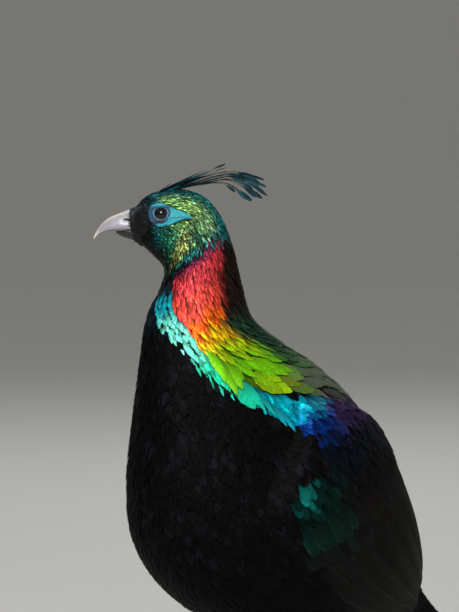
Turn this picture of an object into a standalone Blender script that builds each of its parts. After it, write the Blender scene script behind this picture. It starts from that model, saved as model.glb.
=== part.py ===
"""Himalayan monal cock, life size, standing upright on both feet with its head turned to its right.

Metres, +Z up. The bird faces -X and its left side is -Y. Every shape is worked out in the bird's own frame,
where X = 0 is the axis that the head turns on and Z = 0 the floor, and STAND_SHIFT then moves all of it, so
that the origin lies on the floor under the middle of its bounding box.
"""

import math

import bmesh
import bpy
from mathutils import Matrix, Vector

# Stance and fits
HEAD_TURN = math.radians(36.0)
STAND_SHIFT = Vector((-0.1633, 0.0, 0.0))
GAP = 0.00035
SMOOTH_ANGLE = math.radians(40.0)
UP = Vector((0.0, 0.0, 1.0))

# The plumage as one tapering tube from the bill to the tail. Each row is a section seen from the side:
# back x, back z, underside x, underside z, half width, and how much fuller it is below the middle.
BODY = (
    (-0.0610, 0.4880, -0.0570, 0.4590, 0.0088, 0.00),  # bill base
    (-0.0470, 0.4995, -0.0435, 0.4462, 0.0165, 0.06),  # brow
    (-0.0280, 0.5037, -0.0365, 0.4385, 0.0208, 0.16),  # crown
    (-0.0040, 0.4997, -0.0348, 0.4312, 0.0235, 0.18),  # hind crown
    (0.0135, 0.4810, -0.0368, 0.4240, 0.0245, 0.12),  # nape
    (0.0245, 0.4530, -0.0415, 0.4120, 0.0262, 0.04),  # upper neck
    (0.0320, 0.4230, -0.0490, 0.3985, 0.0295, 0.00),  # middle of the neck
    (0.0430, 0.3925, -0.0565, 0.3745, 0.0370, 0.00),  # lower neck
    (0.0740, 0.3710, -0.0625, 0.3380, 0.0500, 0.00),  # neck base
    (0.1130, 0.3480, -0.0670, 0.2960, 0.0640, 0.02),  # shoulders
    (0.1490, 0.3180, -0.0700, 0.2480, 0.0755, 0.04),  # chest
    (0.1740, 0.2810, -0.0640, 0.2020, 0.0820, 0.05),  # breast
    (0.1930, 0.2425, -0.0380, 0.1620, 0.0835, 0.06),  # belly
    (0.2070, 0.2080, 0.0080, 0.1290, 0.0800, 0.06),  # thighs
    (0.2130, 0.1830, 0.0720, 0.1110, 0.0700, 0.06),  # vent
    (0.2170, 0.1620, 0.1250, 0.1070, 0.0560, 0.04),  # undertail
    (0.2250, 0.1445, 0.1670, 0.1070, 0.0455, 0.00),  # tail base
    (0.2400, 0.1270, 0.2000, 0.0980, 0.0375, 0.00),
    (0.2590, 0.1100, 0.2300, 0.0895, 0.0300, 0.00),
)
HEAD_END, NECK_END, TORSO_END, TAIL_CORE_END = 4.0, 8.0, 16.0, 18.0
TURN_DONE, TURN_START = 4.5, 8.5

# Head
EYE_AT = (-0.0375, 0.4838)
EYE_RADIUS = 0.0070
EYE_PROUD = 0.0021
EYE_GUESS = (1.5, math.radians(66.0))
EYE_GAIN = (40.0, 30.0)  # stations and radians to a metre of error
LID_RADIUS, LID_THICK, LID_OUT, LID_HEIGHT = 0.0056, 0.0011, 0.0004, 0.9
BILL_UPPER = (
    (-0.0611, 0.4880, -0.0580, 0.4699, 0.0083),
    (-0.0684, 0.4850, -0.0671, 0.4690, 0.0078),
    (-0.0757, 0.4822, -0.0748, 0.4688, 0.0068),
    (-0.0826, 0.4790, -0.0817, 0.4683, 0.0054),
    (-0.0886, 0.4738, -0.0873, 0.4668, 0.0038),
    (-0.0931, 0.4678, -0.0920, 0.4646, 0.0021),
    (-0.0958, 0.4618, -0.0952, 0.4612, 0.0006),
)
BILL_LOWER = (
    (-0.0580, 0.4693, -0.0563, 0.4590, 0.0077),
    (-0.0660, 0.4684, -0.0650, 0.4608, 0.0068),
    (-0.0720, 0.4680, -0.0712, 0.4630, 0.0050),
    (-0.0765, 0.4677, -0.0758, 0.4655, 0.0020),
)
BILL_SIDES = 12
NOSTRIL_AT = (-0.0665, 0.4776)
NOSTRIL_SIDE = 0.0078
NOSTRIL_RADII = (0.0026, 0.0016, 0.0009)

# Crest: for each row its root's height along the crown, number, rise, how far it bends over, length, spread
CREST_ROWS = (
    (1.72, 3, 43.0, 34.0, 0.058, 0.30),
    (1.88, 5, 34.0, 64.0, 0.084, 0.36),
    (2.25, 5, 21.0, 60.0, 0.074, 0.32),
)
CREST_STEPS = 6
SHAFT_WIDTH, SPOON_WIDTH, CREST_THICK = 0.0009, 0.0056, 0.0008
CREST_SHAPE = (1.0, 1.0, 1.0, 1.0, 4.2, 6.2, 1.8)
CREST_ROOT = 0.0040
CREST_SIDE, CREST_FAN, CREST_TWIST = 0.30, 3.0, 0.5

# Wings. s runs from the bend of the wing to its tip, q from its upper edge to its lower one.
WING_START, WING_END = 9.3, 16.4
WING_TOP = (58.0, 29.0, 23.0, 25.0, 34.0, 52.0)
WING_LOW = (74.0, 101.0, 107.0, 105.0, 98.0, 82.0)
WING_CLEAR = 0.0009
CORE_LIFT = ((0.0, 0.0026), (0.04, 0.0090), (0.10, 0.0122), (0.17, 0.0106), (0.25, 0.0082), (0.34, 0.0059),
             (0.45, 0.0035), (0.56, 0.0016))
CORE_ROWS, CORE_COLUMNS, CORE_PACE = 11, 8, 1.25
EDGE_DROP = 0.30
VANE_THICK = 0.0005
STACK = 0.00105
# Each tier: number, q of the first and last, s of their roots, s of their tips, width in pitches, height
WING_TIERS = (
    ("flight", 13, (0.05, 0.95), (0.38, 0.44), (0.73, 0.92), 1.55, 0.0023),
    ("greater_coverts", 8, (0.10, 0.92), (0.28, 0.30), (0.54, 0.60), 1.50, 0.0048),
    ("median_coverts", 7, (0.12, 0.90), (0.17, 0.19), (0.40, 0.43), 1.45, 0.0073),
    ("lesser_coverts", 6, (0.15, 0.87), (0.09, 0.10), (0.28, 0.30), 1.45, 0.0098),
)
# Each vane's outline: share of its length, share of its width, how far it is sunk
LONG_VANE = ((0.0, 0.55, 0.0010), (0.3, 0.9, 0.0), (0.62, 1.0, 0.0), (0.88, 0.86, 0.0), (1.0, 0.30, 0.0))
SHORT_VANE = ((0.0, 0.6, 0.0008), (0.45, 1.0, 0.0), (0.84, 0.86, 0.0), (1.0, 0.28, 0.0))

# Tail: its long feathers lie like a low roof, the middle ones on top
TAIL_ROOT = (0.2330, 0.1140)
TAIL_DROP = math.radians(31.0)
TAIL_LENGTH = 0.200
TAIL_FOCUS = 0.016
TAIL_PAIRS = 9
TAIL_SPREAD = math.radians(17.0)
TAIL_STEP = 0.0017
TAIL_SLOPE = 0.05
RECTRIX_WIDTH, RECTRIX_START, RECTRIX_SHORTER = 0.024, -0.006, 0.13
# Each tier of coverts: number, start, length, degrees between them, width, height of root and tip, side
TAIL_COVERTS = (
    (7, -0.010, 0.106, 6.5, 0.022, 0.0140, 0.0034, 1.0),
    (6, -0.014, 0.072, 8.5, 0.022, 0.0185, 0.0090, 1.0),
    (6, -0.012, 0.092, 7.0, 0.022, -0.0225, -0.0190, -1.0),
)
COVERT_STEP, COVERT_SHORTER = 0.0011, 0.05

# Legs
HIP = (0.070, 0.036, 0.160)
HOCK = (0.110, 0.037, 0.084)
FOOT = (0.082, 0.034, 0.0125)
THIGH_RADII = (0.036, 0.033, 0.024, 0.0135, 0.0088)
SHANK_RADII = (0.0078, 0.0068, 0.0052, 0.0048, 0.0050, 0.0060)
SHANK_START = 0.10
SEAT_LIFT = 0.00056
# Spur: where it stands on the shank, which way it points on the left leg, and reach and radius of its rings
SPUR_AT = 0.72
SPUR_WAY = (0.8, 0.35, 0.25)
SPUR_SHAPE = ((0.001, 0.0022), (0.008, 0.0016), (0.0125, 0.0006))
TOES = {"inner": (26.0, 0.041), "middle": (0.0, 0.052), "outer": (-27.0, 0.044), "hind": (176.0, 0.017)}
TOE_SHAPE = (1.18, 0.96, 1.06, 0.90, 0.98, 0.78)
TOE_RADIUS = 0.0046
TOE_ROOT_LIFT = 0.0007
# Pad under the shank: radius at its top, radius and height of its lower rings, and how far forward they lie
PAD_TOP = 0.0064
PAD_RINGS = ((0.0080, 0.0072), (0.0068, 0.0012))
PAD_FORWARD = 0.001
CLAW_LENGTH, CLAW_DIP = 0.013, 0.45
# Claw: share of its length, radius, height of its middle
CLAW_SHAPE = ((0.12, 0.0023, 0.0042), (0.6, 0.0015, 0.0036), (1.0, 0.0005, 0.0013))
TOE_SIDES = 8

# Colours: red, green, blue, then roughness and metallic
FINISHES = {
    "head_plumage": ((0.05, 0.30, 0.16), 0.45, 0.4),
    "neck_plumage": ((0.62, 0.10, 0.05), 0.45, 0.3),
    "body_plumage": ((0.010, 0.010, 0.013), 0.60, 0.0),
    "wing_plumage": ((0.010, 0.060, 0.130), 0.45, 0.3),
    "tail_plumage": ((0.330, 0.110, 0.035), 0.60, 0.0),
    "crest_plumage": ((0.030, 0.150, 0.170), 0.40, 0.4),
    "bill_horn": ((0.330, 0.310, 0.290), 0.40, 0.0),
    "eye_gloss": ((0.020, 0.010, 0.006), 0.05, 0.0),
    "leg_scales": ((0.210, 0.190, 0.130), 0.55, 0.0),
}


def clear_scene():
    for old in list(bpy.data.objects):
        bpy.data.objects.remove(old)


def finish(name):
    """The material of this name, made the first time that it is asked for."""
    found = bpy.data.materials.get(name)
    if found:
        return found
    colour, roughness, metallic = FINISHES[name]
    made = bpy.data.materials.new(name)
    made.use_nodes = True
    shader = made.node_tree.nodes["Principled BSDF"]
    shader.inputs["Base Color"].default_value = (*colour, 1.0)
    shader.inputs["Roughness"].default_value = roughness
    shader.inputs["Metallic"].default_value = metallic
    return made


def ease(x):
    """0 below 0, 1 above 1, and smooth between."""
    x = min(max(x, 0.0), 1.0)
    return x * x * (3.0 - 2.0 * x)


def through(rows, t):
    """A smooth curve through the rows of a table, at t counted in rows."""
    last = len(rows) - 1
    t = min(max(t, 0.0), float(last))
    i = min(int(t), last - 1)
    f = t - i
    before, here, there, after = (rows[min(max(k, 0), last)] for k in (i - 1, i, i + 1, i + 2))
    return [
        0.5 * (2 * b + (c - a) * f + (2 * a - 5 * b + 4 * c - d) * f * f + (3 * b - 3 * c + d - a) * f ** 3)
        for a, b, c, d in zip(before, here, there, after)
    ]


def between(pairs, x):
    """The value at x on straight lines through pairs of (x, value)."""
    for (x0, y0), (x1, y1) in zip(pairs, pairs[1:]):
        if x <= x1:
            return y0 + (y1 - y0) * (x - x0) / (x1 - x0)
    return pairs[-1][1]


def section(t):
    """Centre, half height and half width of the body's section at t, as vectors. The last points left."""
    back_x, back_z, under_x, under_z, half, low = through(BODY, t)
    turn = HEAD_TURN * ease((TURN_START - t) / (TURN_START - TURN_DONE))
    spin = Matrix.Rotation(-turn, 3, "Z")
    centre = spin @ Vector(((back_x + under_x) / 2, 0.0, (back_z + under_z) / 2))
    up = spin @ Vector(((back_x - under_x) / 2, 0.0, (back_z - under_z) / 2))
    left = spin @ Vector((0.0, -half, 0.0))
    return centre, up, left, low


def skin(t, v):
    """The point of the plumage's surface at section t, v radians from the back round the left side."""
    centre, up, left, low = section(t)
    return centre + up * math.cos(v) + left * math.sin(v) * (1.0 - low * math.cos(v))


def over_skin(t, v, lift):
    """The point at this height over the surface."""
    step = 0.02
    along = skin(t + step, v) - skin(t - step, v)
    around = skin(t, v + step) - skin(t, v - step)
    return skin(t, v) + around.cross(along).normalized() * lift


def head_point(x, left, z):
    """A point given in the head's own side view, turned with the head."""
    return Matrix.Rotation(-HEAD_TURN, 3, "Z") @ Vector((x, -left, z))


def new_object(name, mesh, slot):
    made = bpy.data.objects.new(name, mesh)
    bpy.context.scene.collection.objects.link(made)
    made.data.materials.clear()
    made.data.materials.append(finish(slot))
    return made


def mesh_of(points, faces):
    """A mesh with all its faces turned outwards."""
    made = bpy.data.meshes.new("shape")
    made.from_pydata([tuple(p) for p in points], [], faces)
    work = bmesh.new()
    work.from_mesh(made)
    bmesh.ops.recalc_face_normals(work, faces=work.faces)
    work.to_mesh(made)
    work.free()
    return made


def tube(rings):
    """A closed mesh through rings of equally many points, with flat ends."""
    around = len(rings[0])
    points = [p for ring in rings for p in ring]
    faces = [tuple(range(around)), tuple(range(len(points) - around, len(points)))]
    for i in range(len(rings) - 1):
        for j in range(around):
            a, b = i * around + j, i * around + (j + 1) % around
            faces.append((a, b, b + around, a + around))
    return mesh_of(points, faces)


def slab(top, bottom):
    """A closed sheet between two grids of points, cut into the same triangles on both faces."""
    rows, columns = len(top), len(top[0])
    points = [p for grid in (top, bottom) for row in grid for p in row]
    under = rows * columns
    faces = []
    for i in range(rows - 1):
        for j in range(columns - 1):
            a, b, c, d = i * columns + j, i * columns + j + 1, (i + 1) * columns + j + 1, (i + 1) * columns + j
            for k in (0, under):
                faces += [(a + k, b + k, c + k), (a + k, c + k, d + k)]
    rim = list(range(columns))
    rim += [i * columns + columns - 1 for i in range(1, rows)]
    rim += [(rows - 1) * columns + j for j in range(columns - 2, -1, -1)]
    rim += [i * columns for i in range(rows - 2, 0, -1)]
    for a, b in zip(rim, rim[1:] + rim[:1]):
        faces += [(a, b, b + under), (a, b + under, a + under)]
    return mesh_of(points, faces)


def largest_only(mesh):
    """Keeps the largest closed surface of the mesh."""
    work = bmesh.new()
    work.from_mesh(mesh)
    bmesh.ops.triangulate(work, faces=work.faces)
    left, islands = set(work.verts), []
    while left:
        island, edge = set(), [left.pop()]
        while edge:
            here = edge.pop()
            island.add(here)
            for link in here.link_edges:
                other = link.other_vert(here)
                if other in left:
                    left.remove(other)
                    edge.append(other)
        islands.append(island)
    islands.sort(key=len)
    bmesh.ops.delete(work, geom=[p for island in islands[:-1] for p in island], context="VERTS")
    work.to_mesh(mesh)
    work.free()


def boolean(made, others, operation, solver="EXACT"):
    """Joins the other objects to this one, or cuts them from it, and removes them."""
    group = bpy.data.collections.new("joined")
    for other in others:
        for home in list(other.users_collection):
            home.objects.unlink(other)
        group.objects.link(other)
    modifier = made.modifiers.new("join", "BOOLEAN")
    modifier.operand_type = "COLLECTION"
    modifier.collection = group
    modifier.operation = operation
    modifier.solver = solver
    bpy.context.view_layer.update()
    graph = bpy.context.evaluated_depsgraph_get()
    joined = bpy.data.meshes.new_from_object(made.evaluated_get(graph))
    made.modifiers.clear()
    made.data = joined
    for other in others:
        bpy.data.objects.remove(other)
    bpy.data.collections.remove(group)
    largest_only(made.data)


def smooth(made):
    made.data.shade_smooth()
    made.data.set_sharp_from_angle(angle=SMOOTH_ANGLE)
    made.location = STAND_SHIFT


def body_length(name, slot, start, end, rows, around, lift=0.0, gap_start=0.0, gap_end=0.0):
    """One length of the body's tube, kept clear of its neighbours by the gaps at its ends."""
    rings = []
    for i in range(rows + 1):
        t = start + (end - start) * i / rows
        centre, up, left, _ = section(t)
        along = up.cross(left).normalized()
        shift = along * (gap_start * (i == 0) - gap_end * (i == rows))
        ring = []
        for j in range(around):
            v = 2 * math.pi * j / around
            place = over_skin(t, v, lift) if lift else skin(t, v)
            ring.append(place + shift)
        rings.append(ring)
    return new_object(name, tube(rings), slot)


def ball(centre, radii, turn, columns, rows):
    """A closed ellipsoid mesh."""
    made = bpy.data.meshes.new("ball")
    work = bmesh.new()
    bmesh.ops.create_uvsphere(work, u_segments=columns, v_segments=rows, radius=1.0)
    frame = Matrix.Translation(centre) @ Matrix.Rotation(turn, 4, "Z") @ Matrix.Diagonal((*radii, 1.0))
    bmesh.ops.transform(work, matrix=frame, verts=work.verts)
    work.to_mesh(made)
    work.free()
    return made


def eye_centre(side):
    """The globe's centre, set so deep in the head that EYE_PROUD of it stands out."""
    x, z = EYE_AT
    t, v = EYE_GUESS[0], side * EYE_GUESS[1]
    for _ in range(30):
        place = Matrix.Rotation(HEAD_TURN, 3, "Z") @ skin(t, v)
        t += (x - place.x) * EYE_GAIN[0]
        v += side * (place.z - z) * EYE_GAIN[1]
    return over_skin(t, v, EYE_PROUD - EYE_RADIUS), (over_skin(t, v, 1.0) - over_skin(t, v, 0.0))


def lid_ring(centre, out):
    """The rim of the eyelids, a closed ring round the globe."""
    turns, sides = 20, 6
    turn = out.to_track_quat("Z", "Y")
    flat = math.sqrt(EYE_RADIUS ** 2 - LID_RADIUS ** 2)
    points, faces = [], []
    for i in range(turns):
        a = 2 * math.pi * i / turns
        for j in range(sides):
            b = 2 * math.pi * j / sides
            reach = LID_RADIUS + LID_OUT + LID_THICK * math.cos(b)
            points.append(centre + turn @ Vector((reach * math.cos(a), reach * math.sin(a) * LID_HEIGHT,
                                                  flat + LID_THICK * math.sin(b))))
            faces.append((i * sides + j, ((i + 1) % turns) * sides + j,
                          ((i + 1) % turns) * sides + (j + 1) % sides, i * sides + (j + 1) % sides))
    return mesh_of(points, faces)


def build_head():
    head = body_length("head", "head_plumage", 0.0, HEAD_END, 14, 24, gap_end=GAP / 2)
    rims, sockets = [], []
    for side, name in ((1, "left"), (-1, "right")):
        centre, out = eye_centre(side)
        eye = new_object("eye_" + name, ball(centre, (EYE_RADIUS,) * 3, 0.0, 14, 10), "eye_gloss")
        smooth(eye)
        rims.append(new_object("rim", lid_ring(centre, out), "head_plumage"))
        sockets.append(new_object("socket", ball(centre, (EYE_RADIUS + GAP,) * 3, 0.0, 14, 10), "head_plumage"))
    boolean(head, rims + crest_feathers(), "UNION")
    boolean(head, sockets, "DIFFERENCE")
    smooth(head)


def face_of_head(z):
    """Where the flat front of the head stands at this height, in the head's own side view."""
    back_x, back_z, under_x, under_z = BODY[0][:4]
    return back_x + (under_x - back_x) * (back_z - z) / (back_z - under_z)


def bill_half(name, rows, crown):
    """One mandible: round on its outer side, where crown points, and flat along the gape."""
    rings = []
    for row, (top_x, top_z, low_x, low_z, half) in enumerate(rows):
        ring = []
        for j in range(BILL_SIDES):
            a = 2 * math.pi * j / BILL_SIDES
            height = max(math.cos(a), -0.30)
            wide = math.sin(a) * (1.0 - 0.25 * max(height, 0.0))
            share = 0.5 + crown * (height - 0.35) / 1.30
            z = low_z + (top_z - low_z) * share
            x = low_x + (top_x - low_x) * share
            if row == 0:
                x = face_of_head(z) - GAP
            ring.append(head_point(x, half * wide, z))
        rings.append(ring)
    return new_object(name, tube(rings), "bill_horn")


def build_bill():
    upper = bill_half("bill_upper", BILL_UPPER, 1)
    x, z = NOSTRIL_AT
    dents = [
        new_object("nostril", ball(head_point(x, side * NOSTRIL_SIDE, z), NOSTRIL_RADII, -HEAD_TURN, 10, 8),
                   "bill_horn")
        for side in (1, -1)
    ]
    boolean(upper, dents, "DIFFERENCE")
    smooth(upper)
    smooth(bill_half("bill_lower", BILL_LOWER, -1))


def ribbon(path, sides, widths, thick):
    """A closed flat feather along path. sides holds its width direction at each point."""
    top, bottom = [], []
    for i, (place, side, width) in enumerate(zip(path, sides, widths)):
        ahead = path[min(i + 1, len(path) - 1)] - path[max(i - 1, 0)]
        normal = side.cross(ahead).normalized() * thick / 2
        edge = side.normalized() * width / 2
        top.append([place - edge + normal, place + edge + normal])
        bottom.append([place - edge - normal, place + edge - normal])
    return slab(top, bottom)


def crest_feather(row, share):
    """A bare shaft that opens into a spoon at its tip. share runs from -1 to 1 across the crown."""
    start, _, rise, bend, length, spread = row
    root = Matrix.Rotation(HEAD_TURN, 3, "Z") @ over_skin(start, share * CREST_SIDE, -CREST_ROOT)
    x, left, z = root.x, -root.y, root.z
    path, sides = [], []
    step = (length + CREST_ROOT) / CREST_STEPS
    for k in range(CREST_STEPS + 1):
        angle = math.radians(rise - bend * (k / CREST_STEPS) - CREST_FAN * share)
        path.append(head_point(x, left, z))
        sides.append(Matrix.Rotation(-HEAD_TURN, 3, "Z") @ Vector((0.0, -1.0, CREST_TWIST * share)))
        x += step * math.cos(angle)
        z += step * math.sin(angle)
        left += step * spread * share
    return path, sides


def crest_feathers():
    made = []
    for row in CREST_ROWS:
        count = row[1]
        for i in range(count):
            path, sides = crest_feather(row, 2.0 * i / (count - 1) - 1.0)
            widths = [min(SHAFT_WIDTH * w, SPOON_WIDTH) for w in CREST_SHAPE]
            made.append(new_object("crest", ribbon(path, sides, widths, CREST_THICK), "crest_plumage"))
    return made


def wing_place(side, s, q, lift):
    """A point over the flank, at this height over the plumage of the body."""
    t = WING_START + (WING_END - WING_START) * s
    upper = through([(v,) for v in WING_TOP], s * (len(WING_TOP) - 1))[0]
    lower = through([(v,) for v in WING_LOW], s * (len(WING_LOW) - 1))[0]
    v = side * math.radians(upper + (lower - upper) * q)
    drop = EDGE_DROP * between(CORE_LIFT, s) * abs(2 * q - 1) ** 4
    return over_skin(t, v, WING_CLEAR + lift - drop)


def wing_vane(side, tier, share):
    """A vane that follows the flank from root to tip, its lower edge proud over the next one."""
    _, count, q_ends, root_ends, tip_ends, pitches, lift = tier
    q = q_ends[0] + (q_ends[1] - q_ends[0]) * share
    root = root_ends[0] + (root_ends[1] - root_ends[0]) * share
    tip = tip_ends[0] + (tip_ends[1] - tip_ends[0]) * share
    pitch = (q_ends[1] - q_ends[0]) / (count - 1)
    top, bottom = [], []
    for f, wide, sink in LONG_VANE if tier[0] == "flight" else SHORT_VANE:
        s = root + (tip - root) * f
        half = pitch * pitches * wide / 2
        for rows, thick in ((top, VANE_THICK * (1.0 - 0.25 * f)), (bottom, 0.0)):
            rows.append([
                wing_place(side, s, q + edge * half, lift - sink + STACK * edge * half / pitch + thick)
                for edge in (-1, 1)
            ])
    return slab(top, bottom)


def build_wing(side, name):
    top, bottom = [], []
    for i in range(CORE_ROWS):
        s = CORE_LIFT[-1][0] * (i / (CORE_ROWS - 1)) ** CORE_PACE
        lift = between(CORE_LIFT, s)
        across = [j / (CORE_COLUMNS - 1) for j in range(CORE_COLUMNS)]
        top.append([wing_place(side, s, q, lift) for q in across])
        bottom.append([wing_place(side, s, q, EDGE_DROP * lift * abs(2 * q - 1) ** 4) for q in across])
    wing = new_object("wing_" + name, slab(top, bottom), "wing_plumage")
    vanes = []
    for tier in WING_TIERS:
        for i in range(tier[1]):
            vanes.append(new_object(tier[0], wing_vane(side, tier, i / (tier[1] - 1)), "wing_plumage"))
    boolean(wing, vanes, "UNION")
    smooth(wing)


def tail_place(along, left, lift):
    """A point of the tail: along it from its root, to the left of its middle, and over it."""
    x, z = TAIL_ROOT
    drop = TAIL_DROP - 0.25 * along
    way = Vector((math.cos(drop), 0.0, -math.sin(drop)))
    over = Vector((math.sin(drop), 0.0, math.cos(drop)))
    return Vector((x, -left, z)) + way * along + over * lift


def tail_vane(start, length, angle, width, lifts, slope, shape):
    """A flat vane of the tail, its outer edge lower than its inner one by the slope."""
    top, bottom = [], []
    for f, share, _ in shape:
        along = start + length * f * math.cos(angle)
        middle = (TAIL_FOCUS + length * f) * math.sin(angle)
        lift = lifts[0] + (lifts[1] - lifts[0]) * f
        half = width * share / 2
        for rows, thick in ((top, VANE_THICK), (bottom, 0.0)):
            rows.append([tail_place(along, middle + edge * half, lift - slope * edge * half + thick)
                         for edge in (-1, 1)])
    return slab(top, bottom)


def build_tail():
    """The root of the tail with its long feathers, two tiers of coverts over them and one under them."""
    tail = body_length("tail", "tail_plumage", TORSO_END, TAIL_CORE_END, 5, 20, gap_start=GAP / 2)
    vanes = []
    for i in range(TAIL_PAIRS):
        for side in (1, -1):
            share = (i + 0.5) / TAIL_PAIRS
            lift = -TAIL_STEP * (i + (0.5 if side < 0 else 0.0))
            length = TAIL_LENGTH * (1.0 - RECTRIX_SHORTER * share ** 2)
            mesh = tail_vane(RECTRIX_START, length, side * TAIL_SPREAD * share,
                             RECTRIX_WIDTH, (lift, lift), side * TAIL_SLOPE, LONG_VANE)
            vanes.append(new_object("rectrix", mesh, "tail_plumage"))
    for count, start, length, degrees, width, root, tip, over in TAIL_COVERTS:
        for i in range(count):
            share = i - (count - 1) / 2
            down = over * COVERT_STEP * (abs(share) + (0.5 if share < 0 else 0.0))
            mesh = tail_vane(start, length * (1.0 - COVERT_SHORTER * abs(share)), math.radians(degrees) * share, width,
                             (root - down, tip - down), TAIL_SLOPE * over * share / 3, SHORT_VANE)
            vanes.append(new_object("covert", mesh, "tail_plumage"))
    boolean(tail, vanes, "UNION")
    smooth(tail)


def round_ring(centre, along, radius, sides, across=Vector((0.0, 1.0, 0.0))):
    """A ring square to its way along, with a flat side towards the direction given as across."""
    first = (across - along * across.dot(along)).normalized()
    second = along.cross(first)
    turns = (2 * math.pi * (j + 0.5) / sides for j in range(sides))
    return [centre + (first * math.cos(a) + second * math.sin(a)) * radius for a in turns]


def build_leg(side, name):
    mirror = Matrix.Diagonal((1.0, -side, 1.0))
    hip, hock, foot = (mirror @ Vector(p) for p in (HIP, HOCK, FOOT))
    way = (hock - hip).normalized()
    rings = [
        round_ring(hip.lerp(hock, i / (len(THIGH_RADII) - 1)) - way * GAP, way, radius, 16)
        for i, radius in enumerate(THIGH_RADII)
    ]
    thigh = new_object("thigh_" + name, tube(rings), "body_plumage")
    seat = body_length("seat", "body_plumage", NECK_END, TORSO_END, 16, 28, lift=SEAT_LIFT)
    boolean(thigh, [seat], "DIFFERENCE")
    smooth(thigh)

    down = (foot - hock).normalized()
    count = len(SHANK_RADII) - 1
    rings = [round_ring(hock + way * GAP, way, SHANK_RADII[0], 10)]
    for i, radius in enumerate(SHANK_RADII[1:]):
        place = hock.lerp(foot, SHANK_START + (1.0 - SHANK_START) * i / (count - 1))
        rings.append(round_ring(place - down * GAP, down, radius, 10))
    shank = new_object("shank_" + name, tube(rings), "leg_scales")
    spur_root = hock.lerp(foot, SPUR_AT)
    spur_way = Vector((SPUR_WAY[0], side * SPUR_WAY[1], SPUR_WAY[2])).normalized()
    spur = [round_ring(spur_root + spur_way * reach, spur_way, radius, 6) for reach, radius in SPUR_SHAPE]
    boolean(shank, [new_object("spur", tube(spur), "leg_scales")], "UNION")
    smooth(shank)
    build_foot(side, name, foot, down)


def toe_mesh(root, angle, length):
    """A toe that lies on a flat sole, its joints a little swollen, with a claw at its end."""
    way = Vector((-math.cos(angle), math.sin(angle), 0.0))
    start = Vector((root.x, root.y, 0.0))
    flat = math.cos(math.pi / TOE_SIDES)
    rings = []
    for i, share in enumerate(TOE_SHAPE):
        radius = TOE_RADIUS * share
        height = radius * flat + (TOE_ROOT_LIFT if i == 0 else 0.0)
        place = start + way * (length * i / (len(TOE_SHAPE) - 1)) + UP * height
        rings.append(round_ring(place, way, radius, TOE_SIDES, UP))
    for f, radius, height in CLAW_SHAPE:
        claw_way = (way - UP * (CLAW_DIP * f)).normalized()
        rings.append(round_ring(start + way * (length + CLAW_LENGTH * f) + UP * height, claw_way, radius,
                                TOE_SIDES, UP))
    return tube(rings)


def build_foot(side, name, foot, down):
    """The pad that the shank stands on, three toes forward and one back."""
    rings = [round_ring(foot + down * GAP, down, PAD_TOP, 12)]
    for radius, height in PAD_RINGS:
        rings.append(round_ring(Vector((foot.x - PAD_FORWARD, foot.y, height)), -UP, radius, 12))
    pad = new_object("foot_" + name, tube(rings), "leg_scales")
    toes = [
        new_object("toe", toe_mesh(foot, math.radians(degrees) * side, length), "leg_scales")
        for degrees, length in TOES.values()
    ]
    boolean(pad, toes, "UNION")
    smooth(pad)


def build_torso():
    smooth(body_length("neck", "neck_plumage", HEAD_END, NECK_END, 8, 24, gap_start=GAP / 2, gap_end=GAP / 2))
    smooth(body_length("torso", "body_plumage", NECK_END, TORSO_END, 16, 28, gap_start=GAP / 2, gap_end=GAP / 2))


def main():
    clear_scene()
    build_head()
    build_bill()
    build_torso()
    build_tail()
    for side, name in ((1, "left"), (-1, "right")):
        build_wing(side, name)
        build_leg(side, name)


main()
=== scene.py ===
"""Life-size Himalayan monal cock, dressed feather by feather over the fixed frame of its solid parts.

Metres, +Z up. The bird faces -X and its left side is -Y. A place on the plumage is a pair: t runs along the
bird in stations, from the bill's base at 0 to the root of the tail at 18, and v runs round it in radians,
from the middle of the back at 0, over the left side at a quarter turn, to the middle of the breast.
"""

import math

import bpy
import numpy as np
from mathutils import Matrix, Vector
from mathutils.kdtree import KDTree


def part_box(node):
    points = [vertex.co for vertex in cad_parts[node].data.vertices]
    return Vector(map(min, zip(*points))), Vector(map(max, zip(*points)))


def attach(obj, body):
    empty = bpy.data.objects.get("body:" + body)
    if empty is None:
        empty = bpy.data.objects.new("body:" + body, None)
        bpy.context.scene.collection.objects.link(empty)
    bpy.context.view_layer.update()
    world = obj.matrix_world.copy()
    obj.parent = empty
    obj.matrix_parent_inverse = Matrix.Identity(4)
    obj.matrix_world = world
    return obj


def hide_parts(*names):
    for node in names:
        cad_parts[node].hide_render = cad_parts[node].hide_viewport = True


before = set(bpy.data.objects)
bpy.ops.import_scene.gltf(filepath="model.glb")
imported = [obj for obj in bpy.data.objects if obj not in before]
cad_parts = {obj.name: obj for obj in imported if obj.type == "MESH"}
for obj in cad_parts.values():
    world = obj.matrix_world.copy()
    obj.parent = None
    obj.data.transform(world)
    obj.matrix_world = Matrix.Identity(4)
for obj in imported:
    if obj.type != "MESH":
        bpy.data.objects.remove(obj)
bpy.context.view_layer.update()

bl_info = {
    "name": "Himalayan Monal Cock",
    "version": (1, 0, 0),
    "blender": (4, 5, 0),
    "location": "3D View > Sidebar > Monal",
    "description": "Dresses the solid parts of a life-size Himalayan monal cock with skin, feathers and horn",
    "category": "Add Mesh",
}

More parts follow.
